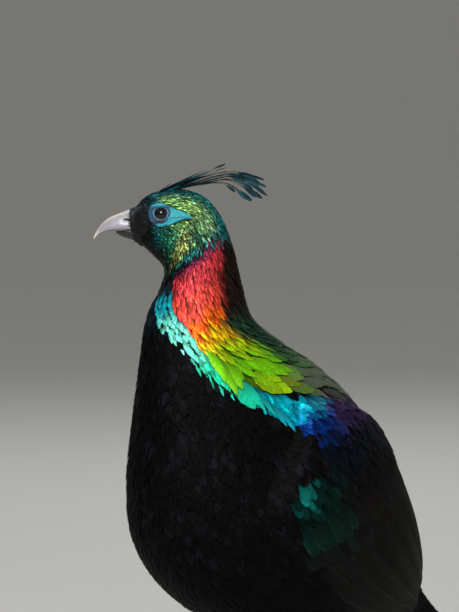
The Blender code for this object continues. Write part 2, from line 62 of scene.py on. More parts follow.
# The plumage's outer form, as the solids have it. Each row is a section seen from the side:
# back x, back z, underside x, underside z, half width, and how much fuller it is below the middle.
HEAD_TURN = math.radians(36)
STAND_SHIFT = -0.1633
TURN_DONE, TURN_START = 4.5, 8.5
BODY = (
    (-0.0610, 0.4880, -0.0570, 0.4590, 0.0088, 0.00),  # bill base
    (-0.0470, 0.4995, -0.0435, 0.4462, 0.0165, 0.06),  # brow
    (-0.0280, 0.5037, -0.0365, 0.4385, 0.0208, 0.16),  # crown
    (-0.0040, 0.4997, -0.0348, 0.4312, 0.0235, 0.18),  # hind crown
    (0.0135, 0.4810, -0.0368, 0.4240, 0.0245, 0.12),  # nape
    (0.0245, 0.4530, -0.0415, 0.4120, 0.0262, 0.04),  # upper neck
    (0.0320, 0.4230, -0.0490, 0.3985, 0.0295, 0.00),  # middle of the neck
    (0.0430, 0.3925, -0.0565, 0.3745, 0.0370, 0.00),  # lower neck
    (0.0740, 0.3710, -0.0625, 0.3380, 0.0500, 0.00),  # neck base
    (0.1130, 0.3480, -0.0670, 0.2960, 0.0640, 0.02),  # shoulders
    (0.1490, 0.3180, -0.0700, 0.2480, 0.0755, 0.04),  # chest
    (0.1740, 0.2810, -0.0640, 0.2020, 0.0820, 0.05),  # breast
    (0.1930, 0.2425, -0.0380, 0.1620, 0.0835, 0.06),  # belly
    (0.2070, 0.2080, 0.0080, 0.1290, 0.0800, 0.06),  # thighs
    (0.2130, 0.1830, 0.0720, 0.1110, 0.0700, 0.06),  # vent
    (0.2170, 0.1620, 0.1250, 0.1070, 0.0560, 0.04),  # undertail
    (0.2250, 0.1445, 0.1670, 0.1070, 0.0455, 0.00),  # tail base
    (0.2400, 0.1270, 0.2000, 0.0980, 0.0375, 0.00),
    (0.2590, 0.1100, 0.2300, 0.0895, 0.0300, 0.00),
)
BODY_END = 18.0

# Bill, as the solids have it
BILL_UPPER = (
    (-0.0611, 0.4880, -0.0580, 0.4699, 0.0083),
    (-0.0684, 0.4850, -0.0671, 0.4690, 0.0078),
    (-0.0757, 0.4822, -0.0748, 0.4688, 0.0068),
    (-0.0826, 0.4790, -0.0817, 0.4683, 0.0054),
    (-0.0886, 0.4738, -0.0873, 0.4668, 0.0038),
    (-0.0931, 0.4678, -0.0920, 0.4646, 0.0021),
    (-0.0958, 0.4618, -0.0952, 0.4612, 0.0006),
)
BILL_LOWER = (
    (-0.0580, 0.4693, -0.0563, 0.4590, 0.0077),
    (-0.0660, 0.4684, -0.0650, 0.4608, 0.0068),
    (-0.0720, 0.4680, -0.0712, 0.4630, 0.0050),
    (-0.0765, 0.4677, -0.0758, 0.4655, 0.0020),
)
NOSTRIL_AT = (-0.0665, 0.4776)

# Wing: s runs from its bend to its tip, q from its upper edge to its lower one, both from 0 to 1
WING_START, WING_END = 9.3, 16.4
WING_SPAN = WING_END - WING_START
WING_TOP = (58, 29, 23, 25, 34, 52)
WING_LOW = (74, 101, 107, 105, 98, 82)
WING_SWELL = ((-0.12, -0.05, 0, 0.04, 0.10, 0.17, 0.30, 0.43, 0.62, 0.84, 1, 1.1),
              (0, 0.0012, 0.0042, 0.0095, 0.0130, 0.0120, 0.0104, 0.0080, 0.0056, 0.0038, 0.0032, 0))

# Tail and legs, as the solids have them
TAIL_ROOT = (0.233, 0.114)
TAIL_DROP = math.radians(31)
TAIL_LENGTH, TAIL_FOCUS, TAIL_PAIRS = 0.2, 0.016, 9
TAIL_SPREAD = math.radians(17)
HIP = (0.07, 0.036, 0.16)
HOCK = (0.11, 0.037, 0.084)
FOOT = (0.082, 0.034, 0.0125)
THIGH_RADII = (0.036, 0.033, 0.024, 0.0135, 0.0088)
SHANK_RADII = (0.0078, 0.0068, 0.0052, 0.0048, 0.005, 0.006)
TOES = ((26, 0.041), (0, 0.052), (-27, 0.044), (176, 0.017))
CLAW_LENGTH = 0.013
SIDES = ((1, "left"), (-1, "right"))
UP = np.array((0, 0, 1))

# Chart of the body: rows to a station, columns round it and metres between marks of the way to the tail
CHART_ROWS, CHART_COLUMNS = 25, 180
REACH_STEP = 0.001
# The least metres to a radian, where the body closes to a point
LEAST_GIRTH = 0.004
# Places tried for each root that is kept
TRIES = 6
# The most triangles in one piece of the coat
LIMIT_PER_PIECE = 190000
CIRCLE = 2 * np.pi

# Stretches of the body that share one unwrap, in stations
HEAD_STRETCH, NECK_STRETCH, BODY_STRETCH = (0, 4.6), (4.2, 10), (4.3, 18)

# Seeds of the random draws, one for each kind of feather
SEEDS = {"head": 11, "bristles": 17, "crest": 23, "neck": 31, "fringe": 37, "plumes": 39, "face": 41,
         "body": 51, "thigh": 57, "wing": 61, "shoulder": 67, "tail": 71}

# How metallic the glossy feathers look, and how far the mantle's feathers turn off the lie, in radians
COAT_SHEEN, WING_SHEEN = 0.62, 0.6
MANTLE_TURN = 0.62
# Shares of feathers in shade and in the light, how much that changes them, and the darkest black's limit
IN_SHADE, IN_LIGHT = 0.14, 0.1
SHADE_LOSS, LIGHT_GAIN = 0.5, 0.45
BLACK_LIMIT = 0.02

# Barbs: slant from the shaft, and how often their streaks repeat across and along
BARB_SLANT, BARB_STRETCH = -0.9, (11, 1.2, 1)

# Scale of the barbs' unwrap across and along a vane, and half width of a feather's patch on the other one
BARBS_ACROSS, BARBS_ALONG, ROOT_PATCH = 50, 100, 0.0015

# Thickness of vanes: the smallest ones on the head, most feathers, coverts, and long stiff feathers
FINE_VANE, VANE, THICK_VANE, STIFF_VANE = 0.00022, 0.0003, 0.0004, 0.0005

# The strength of the pale sky, and its colour as a screen shows it
SKY, SKY_COLOUR = 0.45, (232, 232, 230)
# The view: turn round the bird, tilt, and what the camera and the lights point at
VIEW_TURN, VIEW_TILT = math.radians(-36), math.radians(4)
VIEW_HEIGHT, VIEW_RIGHT = 0.4033, 0.0211
LIT_POINT = (-0.05, 0, 0.34)
SENSOR_WIDTH = 36.0


def shown(red, green, blue):
    """A colour as a screen shows it, from 0 to 255, as the linear values that Blender mixes."""
    shares = (red / 255, green / 255, blue / 255)
    return [x / 12.92 if x <= 0.04045 else ((x + 0.055) / 1.055) ** 2.4 for x in shares]


def colour(name, text, red, green, blue):
    """A colour that the panel shows and that can be changed there."""
    return bpy.props.FloatVectorProperty(name=name, description=text, subtype="COLOR", size=3, min=0,
                                         max=1, default=shown(red, green, blue))


def length(name, text, value):
    """A length in metres that the panel shows."""
    return bpy.props.FloatProperty(name=name, description=text, default=value, min=0, unit="LENGTH",
                                   subtype="DISTANCE")


class MonalColours(bpy.types.PropertyGroup):
    """Colours of the feathers, skin and horn."""

    forehead: colour("Forehead", "Forehead and lores", 30, 38, 42)
    crown: colour("Crown", "Front of the crown", 20, 96, 104)
    crown_gold: colour("Hind crown", "Gold-green of the hind crown", 112, 154, 72)
    ear: colour("Ear coverts", "Olive bronze behind the eye", 66, 88, 40)
    cheek_gold: colour("Cheek", "Pale gold of the hind crown's edge", 130, 170, 108)
    jaw: colour("Jaw", "Green of the jaw", 26, 122, 90)
    jaw_gold: colour("Hind jaw", "Gold flecks of the jaw", 172, 176, 84)
    throat: colour("Throat", "Chin and throat", 14, 26, 24)
    nape: colour("Nape", "Blue-green edge of the nape", 22, 124, 126)
    collar: colour("Collar", "Dark line under the jaw", 20, 12, 26)
    magenta: colour("Magenta", "Top of the neck", 134, 28, 66)
    crimson: colour("Crimson", "Upper neck", 184, 48, 54)
    coral: colour("Coral", "Middle of the neck", 216, 66, 52)
    flame: colour("Flame", "Orange red of the lower neck", 236, 94, 10)
    orange: colour("Orange", "Lower neck", 240, 176, 4)
    yellow: colour("Yellow", "Neck's base", 196, 206, 8)
    lime: colour("Lime", "Upper mantle", 166, 214, 8)
    leaf: colour("Leaf", "Mantle over the shoulder", 126, 212, 10)
    amber: colour("Amber", "Lower edge of the mantle", 150, 170, 10)
    bronze: colour("Bronze", "Green bronze over the wing", 70, 114, 62)
    ash: colour("Ash", "Grey bronze behind the mantle", 104, 116, 94)
    purple: colour("Purple bronze", "Scapulars and middle of the back", 48, 40, 60)
    # Dark copper of the hindneck: partly the neck's own colour, partly painted shade on its far side
    hindneck: colour("Hindneck", "Dark copper down the back of the neck", 30, 11, 7)
    moss: colour("Moss", "Dark green between the shoulders", 30, 74, 50)
    rump_white: colour("Lower back", "White patch between the wings", 226, 224, 214)
    rump: colour("Rump", "Glossy blue of the rump", 14, 52, 92)
    tail_cover: colour("Tail coverts", "Green purple of the upper tail coverts", 20, 74, 62)
    mint: colour("Mint", "Pointed fringe along the breast", 18, 222, 172)
    mint_pale: colour("Pale mint", "Palest stretch of the fringe", 116, 240, 208)
    mint_blue: colour("Blue mint", "Upper end of the fringe", 14, 188, 206)
    cyan: colour("Cyan", "Front of the wing", 4, 182, 204)
    blue: colour("Blue", "Lesser coverts", 10, 50, 128)
    violet: colour("Violet", "Upper lesser coverts", 60, 42, 84)
    navy: colour("Navy", "Median coverts", 5, 14, 26)
    teal: colour("Teal", "Lower greater coverts", 4, 32, 27)
    turquoise: colour("Turquoise", "Glints on the lower coverts", 24, 170, 160)
    wing_dark: colour("Wing", "Flight feathers and rear coverts", 9, 7, 6)
    fore_neck: colour("Fore neck", "Blue grey beside the fringe", 16, 32, 42)
    breast: colour("Breast", "Velvet black of breast, belly and legs", 4, 4, 5)
    breast_tip: colour("Breast tips", "Faint grey of the black feathers' tips", 30, 33, 42)
    rufous: colour("Rufous", "Long tail feathers", 164, 92, 44)
    rufous_dark: colour("Dark rufous", "Bases and shafts of the tail feathers", 92, 44, 20)
    face_blue: colour("Face skin", "Bare skin round the eye", 2, 88, 122)
    face_bright: colour("Bright face skin", "Hind point of the bare skin", 16, 196, 212)
    # Used for the painted shade of the fold under the eye
    face_dark: colour("Dark face skin", "Skin under the eye", 12, 28, 40)
    eye_ring: colour("Eyelid", "Rims of the lids", 126, 158, 176)
    iris: colour("Iris", "Dark brown iris", 22, 11, 7)
    horn: colour("Horn", "Middle of the bill", 162, 158, 168)
    horn_pale: colour("Pale horn", "Bill's ridge and tip", 226, 222, 204)
    horn_dark: colour("Dark horn", "Bill's base and claws", 46, 34, 32)
    crest_shaft: colour("Crest shaft", "Wire-like shafts of the crest", 12, 40, 44)
    crest_spoon: colour("Crest spoon", "Spoon-shaped tips of the crest", 40, 84, 96)
    leg: colour("Leg", "Scaled shanks and toes", 118, 106, 84)
    floor: colour("Floor", "Pale studio floor", 214, 213, 209)


class MonalSizes(bpy.types.PropertyGroup):
    """Sizes that set how coarse the coat is and how near the camera stands."""

    face_gap: length("Face spacing", "Distance between the smallest feathers of the face", 0.0011)
    crown_gap: length("Crown spacing", "Distance between the feathers of the crown", 0.0014)
    neck_gap: length("Neck spacing", "Distance between the feathers of the neck", 0.0031)
    body_gap: length("Body spacing", "Distance between the feathers of breast and back", 0.0048)
    view_height: length("View height", "Height of what the camera takes in at the bird", 0.5263)
    view_distance: length("Camera distance", "From the camera to the bird", 3)


def tint(name):
    """A named colour of the bird as an array."""
    return np.array(getattr(bpy.context.scene.monal_colours, name)[:3])


def tints(name, count):
    """A named colour of the bird, once for each of this many places."""
    return np.tile(tint(name), (count, 1))


def ease(x):
    """0 below 0, 1 above 1, and smooth between."""
    x = np.clip(x, 0, 1)
    return x * x * (3 - 2 * x)


def ring_of(count):
    """This many angles, evenly round a circle."""
    return np.linspace(0, CIRCLE, count, endpoint=False)


def run_along(line):
    """How far along a line each of its points lies."""
    return np.concatenate([[0], np.cumsum(np.linalg.norm(np.diff(line, axis=0), axis=-1))])


def grow(x, start, span):
    """0 up to the start, 1 from the end of the span on, and smooth between."""
    return ease((x - start) / span)


def fade(x, end, span):
    """1 up to the start of the span, 0 from its end on, and smooth between."""
    return ease((end - x) / span)


def mix(first, second, share):
    """Colours between two others, with a share for each place."""
    return first + (second - first) * np.asarray(share)[..., None]


def curve(rows, t):
    """A smooth curve through the rows of a table, at t counted in rows."""
    rows = np.asarray(rows, float)
    last = len(rows) - 1
    t = np.clip(np.asarray(t, float), 0, last)
    i = np.minimum(t.astype(int), last - 1)
    f = (t - i)[..., None]
    a, b, c, d = (rows[np.clip(i + k, 0, last)] for k in (-1, 0, 1, 2))
    bend, twist = 2 * a - 5 * b + 4 * c - d, 3 * b - 3 * c + d - a
    return 0.5 * (2 * b + (c - a) * f + bend * f ** 2 + twist * f ** 3)


def turned(x, left, z, turn=HEAD_TURN):
    """Points of the side view, turned about the neck's upright axis and moved to where the bird stands."""
    x, left, z = np.broadcast_arrays(x, left, z)
    c, s = np.cos(turn), np.sin(turn)
    return np.stack([x * c - left * s + STAND_SHIFT, -left * c - x * s, z], -1)


def body_point(t, v):
    """The solid plumage's surface."""
    t, v = np.broadcast_arrays(t, v)
    back_x, back_z, under_x, under_z, half, low = np.moveaxis(curve(BODY, t), -1, 0)
    up = np.cos(v)
    x = (back_x + under_x) / 2 + (back_x - under_x) / 2 * up
    z = (back_z + under_z) / 2 + (back_z - under_z) / 2 * up
    left = half * np.sin(v) * (1 - low * up)
    return turned(x, left, z, HEAD_TURN * ease((TURN_START - t) / (TURN_START - TURN_DONE)))


def survey():
    """The body as grids.

    They hold points with normals, the way from the bill and its inverse, metres to a radian, and areas.
    """
    t = np.arange(int(BODY_END * CHART_ROWS) + 1) / CHART_ROWS
    v = np.linspace(0, CIRCLE, CHART_COLUMNS + 1)
    points = body_point(t[:, None], v[None, :])
    along = np.gradient(points, axis=0)
    inner = points[:, :-1]
    around = (np.roll(inner, -1, 1) - np.roll(inner, 1, 1)) / 2
    around = np.concatenate([around, around[:, :1]], 1)
    normal = np.cross(around, along)
    normal /= np.linalg.norm(normal, axis=-1, keepdims=True)
    steps = np.linalg.norm(np.diff(points, axis=0), axis=-1)
    reach = np.concatenate([np.zeros((1, len(v))), np.cumsum(steps, 0)])
    marks = np.arange(0, reach.max(), REACH_STEP)
    station = np.stack([np.interp(marks, reach[:, j], t) for j in range(len(v))], 1)
    girth = np.linalg.norm(around, axis=-1) / (v[1] - v[0])
    area = np.linalg.norm(np.cross(around, along), axis=-1)
    return np.concatenate([points, normal], -1), reach, station, girth, area


CHART, REACH, STATION, GIRTH, AREA = survey()


def read(grid, t, v, per_row=CHART_ROWS):
    """A grid's value between its rows and columns."""
    row = np.clip(t * per_row, 0, grid.shape[0] - 1.001)
    column = np.mod(v, CIRCLE) / CIRCLE * CHART_COLUMNS
    column = np.clip(column, 0, CHART_COLUMNS - 0.001)
    i, j = row.astype(int), column.astype(int)
    f, g = row - i, column - j
    if grid.ndim == 3:
        f, g = f[..., None], g[..., None]
    here = grid[i, j] * (1 - f) + grid[i + 1, j] * f
    beside = grid[i, j + 1] * (1 - f) + grid[i + 1, j + 1] * f
    return here * (1 - g) + beside * g


def over_body(t, v, height):
    """Points at this height over the solid plumage."""
    both = read(CHART, t, v)
    normal = both[..., 3:]
    normal = normal / np.linalg.norm(normal, axis=-1, keepdims=True)
    return both[..., :3] + normal * np.asarray(height)[..., None]


def walk(t, v, distance):
    """The station reached this far towards the tail."""
    return read(STATION, read(REACH, t, v) + distance, v, 1 / REACH_STEP)


def down_side(v):
    """Degrees from the middle of the back, the same on both sides."""
    return np.degrees(np.abs(np.mod(v + np.pi, CIRCLE) - np.pi))


def face_side(v):
    """1 on the left side, -1 on the right one."""
    return np.where(np.mod(v, CIRCLE) < np.pi, 1, -1)


def angle_down(side, w):
    """The angle v of a place w degrees down this side from the middle of the back."""
    return np.mod(side * np.radians(w), CIRCLE)


def wing_edges(s):
    """The wing's upper and lower edge at s, in degrees from the back."""
    at = np.clip(s, 0, 1) * (len(WING_TOP) - 1)
    edges = curve(list(zip(WING_TOP, WING_LOW)), at)
    return edges[..., 0], edges[..., 1]


def wing_share(t, v):
    """s and q of a place on the body."""
    s = (t - WING_START) / WING_SPAN
    upper, lower = wing_edges(s)
    return s, (down_side(v) - upper) / (lower - upper)


def wing_end(q):
    """Where the tips of the flight feathers end, sooner along the wing's upper edge."""
    return 0.755 + 0.165 * np.clip(q, 0, 1)


def swell(t, v):
    """How far the folded wing lifts what lies over it."""
    s, q = wing_share(t, v)
    lift = np.interp(s, *WING_SWELL) * ease((wing_end(q) + 0.07 - s) / 0.10)
    return lift * ease((q + 0.16) / 0.22) * fade(q, 1.16, 0.22)


# Edges of the colour fields, as stations and degrees from the back: the black breast's, the inner edge of
# the mint fringe, the dark hindneck's, the mantle's over the wing, and the fold inside the mantle, where a
# shadow is painted
FRINGE = ((4.2, 5.2, 6, 6.8, 7, 7.3, 7.6, 7.85, 8.1, 8.35, 8.6, 8.75,
           9.1, 9.4, 9.7, 10.05, 10.35, 10.75, 10.82, 11.05, 11.85, 12.35, 13.25, 16),
          (172, 163, 157, 150, 140, 130, 124, 120.5, 117, 113.5, 109, 105,
           96, 88, 84, 80, 79, 82, 95, 103, 105, 103, 107, 112))
INNER_EDGE = ((3.9, 4.85, 5.7, 6.4, 6.75, 7.15, 7.5, 7.9, 8.25, 8.6, 8.8, 9.1, 9.25, 10),
              (135, 131, 130, 130, 124, 119, 117, 115, 112, 105, 98, 78, 70, 66))
HIND_EDGE = ((4.6, 5.25, 5.95, 6.55, 6.85, 7.1, 7.4, 7.7, 8.25, 8.65, 9.05, 9.4),
             (37, 49, 61, 69, 74, 75, 64, 60, 57, 60, 58, 52))
MANTLE_EDGE = ((0, 29, 45, 58, 71, 84, 90, 95, 99, 104, 110, 116),
               (10, 9.85, 9.72, 9.50, 9.25, 9.02, 8.88, 8.45, 8.25, 8.60, 8.38, 8.1))
FOLD = ((7.3, 7.6, 8, 8.35, 8.75, 9.1), (94, 95, 96, 94, 87, 82))

# Colours along the head at five angles from the middle of the crown, then along the side of the neck and
# mantle, the back, the breast and the fringe, each with its station
CROWN = ((0, "forehead"), (0.7, "forehead"), (1.2, "crown"), (2.5, "crown"), (3.1, "nape"), (4.5, "nape"))
BROW = ((0, "forehead"), (0.8, "forehead"), (1.3, "crown"), (1.7, "crown_gold"), (3.1, "crown_gold"),
        (3.6, "cheek_gold"), (4.1, "cheek_gold"), (4.4, "nape"))
CHEEK = ((0, "forehead"), (1.2, "forehead"), (2.2, "ear"), (2.7, "crown_gold"), (3.1, "ear"), (3.7, "moss"),
         (4.1, "moss"), (4.3, "nape"), (4.45, "collar"))
JAW = ((0, "throat"), (0.9, "throat"), (1.5, "nape"), (1.9, "jaw"), (2.8, "jaw"), (3.2, "jaw_gold"),
       (3.7, "jaw_gold"), (4, "jaw"), (4.2, "nape"), (4.35, "collar"))
CHIN = ((0, "throat"), (3.9, "throat"), (4.2, "collar"))
HEAD_BANDS = ((20, CROWN), (46, BROW), (76, CHEEK), (106, JAW), (142, CHIN))
SIDE = ((4.5, "collar"), (4.68, "magenta"), (4.95, "crimson"), (5.5, "crimson"), (5.9, "coral"),
        (6.3, "coral"), (6.55, "flame"), (6.8, "flame"), (7, "orange"), (7.15, "orange"), (7.35, "yellow"),
        (7.65, "lime"), (8, "leaf"), (8.5, "leaf"), (8.75, "lime"), (8.95, "amber"), (9.2, "bronze"),
        (9.5, "ash"))
BACK = ((4.5, "nape"), (4.8, "hindneck"), (6.6, "hindneck"), (7.2, "moss"), (8, "moss"), (8.5, "bronze"),
        (9, "ash"), (9.8, "ash"), (10.4, "purple"), (12, "purple"), (13.2, "rump"), (15, "rump"),
        (15.8, "tail_cover"), (18, "tail_cover"))
FRONT = ((4.3, "collar"), (5, "fore_neck"), (6, "fore_neck"), (7, "breast"), (18, "breast"))
MINT = ((4.3, "collar"), (4.7, "fore_neck"), (5.2, "fore_neck"), (5.7, "mint_blue"), (6.2, "mint_blue"),
        (6.7, "mint_pale"), (7.5, "mint_pale"), (8, "mint"), (9.1, "mint"))


def ramp(stops, t):
    """The colour at t between named colours."""
    at = [stop[0] for stop in stops]
    shades = np.array([tint(stop[1]) for stop in stops])
    return np.stack([np.interp(t, at, shades[:, k]) for k in range(3)], -1)


def head_paint(t, w):
    """Colour of the head's feathers, w degrees from the middle of the crown."""
    paint = ramp(HEAD_BANDS[0][1], t)
    for (low, _), (high, stops) in zip(HEAD_BANDS, HEAD_BANDS[1:]):
        paint = mix(paint, ramp(stops, t), ease((w - low) / (high - low)))
    return paint


def coat_paint(t, v):
    """Colour and metallic sheen of the coat at any place on the body, apart from the wings."""
    w = down_side(v)
    hind = np.interp(t, *HIND_EDGE)
    inner = np.interp(t, *INNER_EDGE)
    front = np.interp(t, *FRINGE)
    sheen = np.full(np.shape(t), COAT_SHEEN)
    lag = 0.34 * grow(w, 86, 30) * grow(t, 6, 0.6) * fade(t, 8.6, 0.8)
    # The back's colours give way to the side's over a soft edge, which also paints shade on the neck's far
    # side
    paint = mix(ramp(BACK, t), ramp(SIDE, t - lag), ease((w - hind) / 15 + 0.5))
    # A painted shadow along the fold, where one group of mantle feathers overhangs the next
    shadow = np.exp(-((w - np.interp(t, *FOLD)) / 2.6) ** 2) * (t > 7.3) * (t < 9)
    paint = paint * (1 - 0.45 * shadow)[..., None]
    paint = mix(paint, ramp(MINT, t), ease((w - inner) / 2.5 + 0.5))
    black = ease((w - front) / 3 + 0.5)
    paint = mix(paint, ramp(FRONT, t), black)
    paint = mix(paint, tint("breast"), grow(w, 150, 20) * grow(t, 6, 0.8))
    rear = grow(t, 9.6, 0.4) * grow(w, 28, 8)
    paint = mix(paint, tint("breast"), rear)
    sheen = sheen * (1 - np.maximum(black, rear) * 0.85)
    white = grow(t, 12, 0.4) * fade(t, 13.5, 0.4) * fade(w, 24, 8)
    paint = mix(paint, tint("rump_white"), white)
    sheen = sheen * (1 - white)
    head = fade(t, 4.62, 0.12)
    return mix(paint, head_paint(t, w), head), sheen


def wing_paint(t, w):
    """Colour of the wing's feathers at a station and w degrees from the middle of the back."""
    front = mix(tint("cyan"), tint("blue"), grow(t, 9.35, 0.45))
    front = mix(front, tint("navy"), grow(t, 9.85, 0.6))
    upper = mix(tint("violet"), tint("navy"), grow(t, 9.95, 0.6))
    paint = mix(upper, front, grow(w, 58, 14))
    paint = mix(paint, tint("wing_dark"), grow(t, 10.6, 0.8))
    lower = grow(w, 72, 16) * grow(t, 10.5, 0.3) * fade(t, 12.4, 0.9)
    paint = mix(paint, tint("teal"), lower)
    sheen = WING_SHEEN - 0.5 * grow(t, 10.6, 0.8) * (1 - lower)
    return paint, sheen


def grid_faces(rows, columns, round_rows=False):
    """Quads over a grid of points whose columns close on themselves, and its rows too where asked."""
    last = rows if round_rows else rows - 1
    i, j = np.meshgrid(np.arange(last), np.arange(columns), indexing="ij")
    k, n = (j + 1) % columns, (i + 1) % rows
    corners = (i * columns + j, i * columns + k, n * columns + k, n * columns + j)
    return np.stack(corners, -1).reshape(-1, 4)


def end_faces(rows, columns):
    """The faces that close such a grid at its first and last row."""
    return np.array([np.arange(columns)[::-1], (rows - 1) * columns + np.arange(columns)])


def outwards(points, quads, caps):
    """The faces of a closed form, turned so that they look outwards."""
    middle = points.mean(0)
    a, b, c, d = (points[quads[:, k]] - middle for k in range(4))
    volume = (np.cross(a, b) * c).sum() + (np.cross(a, c) * d).sum()
    return (quads[:, ::-1], caps[:, ::-1]) if volume < 0 else (quads, caps)


class Pattern:
    """The rings of points of one thin blade, as shares of its length, half width and thickness."""

    def __init__(self, outline, rows, sides=4, tooth=0, sweep=0):
        at = curve(outline, np.linspace(0, len(outline) - 1, rows))
        share, wide = at[:, :1], np.maximum(at[:, 1:], 0.02)
        ring = CIRCLE * np.arange(sides) / sides
        edge = np.abs(np.cos(ring))[None, :] ** 2
        nick = 1 - tooth * (np.arange(rows) % 2)[:, None] * edge
        self.along = (share + sweep * edge * wide).ravel()
        self.across = (wide * nick * np.cos(ring)[None, :]).ravel()
        self.over = (np.minimum(1, wide * 2) * np.sin(ring)[None, :]).ravel()
        self.edge = np.broadcast_to(np.abs(np.cos(ring))[None, :], (rows, sides)).ravel()
        self.wide = np.broadcast_to(wide, (rows, sides)).ravel()
        self.quads = grid_faces(rows, sides)
        self.caps = end_faces(rows, sides)
        self.triangles = 2 * len(self.quads) + 2 * (sides - 2)


# Each blade's outline: shares of its length and the share of its width there
SCALE = Pattern(((0, 0.35), (0.25, 0.8), (0.55, 1), (0.8, 0.86), (0.94, 0.5), (1, 0.12)), 6)
HACKLE = Pattern(((0, 0.3), (0.28, 0.82), (0.5, 1), (0.78, 0.66), (0.93, 0.28), (1, 0.04)), 9,
                 tooth=0.16, sweep=0.03)
PLUME = Pattern(((0, 0.5), (0.35, 1), (0.7, 0.75), (0.9, 0.35), (1, 0.05)), 6)
COVERT = Pattern(((0, 0.3), (0.15, 0.75), (0.4, 1), (0.75, 0.98), (0.92, 0.68), (1, 0.12)), 14, 6,
                 tooth=0.05, sweep=0.02)
LESSER = Pattern(((0, 0.3), (0.2, 0.75), (0.5, 1), (0.8, 0.86), (0.94, 0.5), (1, 0.08)), 9,
                 tooth=0.08, sweep=0.03)
LANCE = Pattern(((0, 0.5), (0.3, 0.9), (0.6, 1), (0.85, 0.6), (1, 0.05)), 18)
QUILL = Pattern(((0, 0.25), (0.06, 0.7), (0.2, 0.95), (0.5, 1), (0.82, 0.94), (0.94, 0.66), (1, 0.14)),
                34, 8, tooth=0.03, sweep=0.008)
SPOON = Pattern(((0, 0.30), (0.12, 0.34), (0.28, 0.20), (0.5, 0.14), (0.82, 0.13), (0.86, 0.5),
                 (0.91, 0.95), (0.96, 0.85), (1, 0.15)), 44, 6, tooth=0.08, sweep=0.012)


def blades(pattern, long, wide, thick, arch, low, high, yaw=0, bend=0):
    """Each feather's points: distance along the lie, across it, and height over the coat.

    Low and high are the heights of root and tip. Every measure is one number or one for each feather.
    """
    long, wide, low, high, yaw, bend = (
        np.asarray(x, float).reshape(-1, 1) for x in (long, wide, low, high, yaw, bend)
    )
    along = long * pattern.along
    across = wide / 2 * pattern.across + bend * long * pattern.along ** 2
    x = along * np.cos(yaw) - across * np.sin(yaw)
    y = along * np.sin(yaw) + across * np.cos(yaw)
    rise = low + (high - low) * np.minimum(pattern.along, 1) ** 0.8
    z = rise + thick / 2 * pattern.over + arch * wide * pattern.wide * (1 - pattern.edge ** 2)
    return x, y, z


def lay_on_body(t, v, x, y, z):
    """Bends blades over the body from their roots. They are given as blades returns them."""
    t, v = t[:, None], v[:, None]
    there = walk(t, v, x)
    turned_by = v + y / np.maximum(read(GIRTH, there, v), LEAST_GIRTH)
    return over_body(there, turned_by, z + swell(there, turned_by))


def reach_of(t, v, long, yaw):
    """Where blades of this length and turn end on the body."""
    tip = walk(t, v, long * np.cos(yaw))
    return tip, v + long * np.sin(yaw) / np.maximum(read(GIRTH, tip, v), LEAST_GIRTH)


def mantle_lean(t, v):
    """How far the mantle's feathers turn from the lie towards the middle of the back."""
    w = down_side(v)
    lean = MANTLE_TURN * grow(t, 7, 1.2) * grow(w, 22, 25)
    return -face_side(v) * lean * ease((np.interp(t, *FOLD) + 4 - w) / 10)


def shade(pattern, paint, base, tip, rim):
    """Each point's colour: dark at the feather's base, full at its tip, and darker at its rim. The dark base
    is partly the feather's own duller colour and partly painted shade under the feathers above; the dark rim
    is painted shade between feathers, and a negative rim makes the rim paler instead.
    """
    base, tip, rim = (np.reshape(x, (-1, 1)) for x in (base, tip, rim))
    a = np.minimum(pattern.along, 1)
    tone = base + (tip - base) * grow(a, 0.25, 0.5)
    tone = tone * (1 - rim * pattern.edge ** 3)
    return paint[:, None, :] * tone[:, :, None]


def feather_set(pattern, points, paint, sheen, spot, long, wide):
    """One kind of feathers, ready to be joined: spot is each root's place on the unwrap."""
    count, size = points.shape[:2]
    quads, caps = outwards(points[0], pattern.quads, pattern.caps)
    start = (np.arange(count) * size)[:, None, None]
    vane = np.stack(np.broadcast_arrays(pattern.across[None, :] * np.reshape(wide, (-1, 1)) * BARBS_ACROSS,
                                        pattern.along[None, :] * np.reshape(long, (-1, 1)) * BARBS_ALONG), -1)
    patch = np.stack([pattern.across, pattern.along * 2 - 1], -1) * ROOT_PATCH
    return {
        "points": points.reshape(-1, 3),
        "quads": (quads + start).reshape(-1, 4),
        "caps": (caps + start).reshape(-1, caps.shape[1]),
        "paint": paint.reshape(-1, 3),
        "sheen": np.repeat(np.broadcast_to(sheen, count), size),
        "brim": np.tile(pattern.edge > 0.999, count),
        "vane": vane.reshape(-1, 2),
        "bake": (spot[:, None, :] + patch[None, :, :]).reshape(-1, 2),
        "triangles": count * pattern.triangles,
    }


def feather_parts(pattern, parts, *lines):
    """One kind of feathers as several sets of about the same size, so that each fits in a piece."""
    ends = np.linspace(0, len(lines[0]), parts + 1).astype(int)
    return [feather_set(pattern, *(line[start:end] for line in lines)) for start, end in zip(ends, ends[1:])]


def only(keep, *lines):
    """The kept rows of several arrays."""
    return [line[keep] for line in lines]


def new_mesh(name, points, faces_by_size):
    """A mesh from arrays of faces, each array with its own number of corners."""
    made = bpy.data.meshes.new(name)
    made.vertices.add(len(points))
    made.vertices.foreach_set("co", np.asarray(points, np.float32).ravel())
    corners = np.concatenate([faces.ravel() for faces in faces_by_size])
    sizes = np.concatenate([np.full(len(faces), faces.shape[1]) for faces in faces_by_size])
    made.loops.add(len(corners))
    made.loops.foreach_set("vertex_index", corners.astype(np.int32))
    made.polygons.add(len(sizes))
    made.polygons.foreach_set("loop_start", np.concatenate([[0], np.cumsum(sizes)[:-1]]).astype(np.int32))
    made.update(calc_edges=True)
    made.validate()
    return made


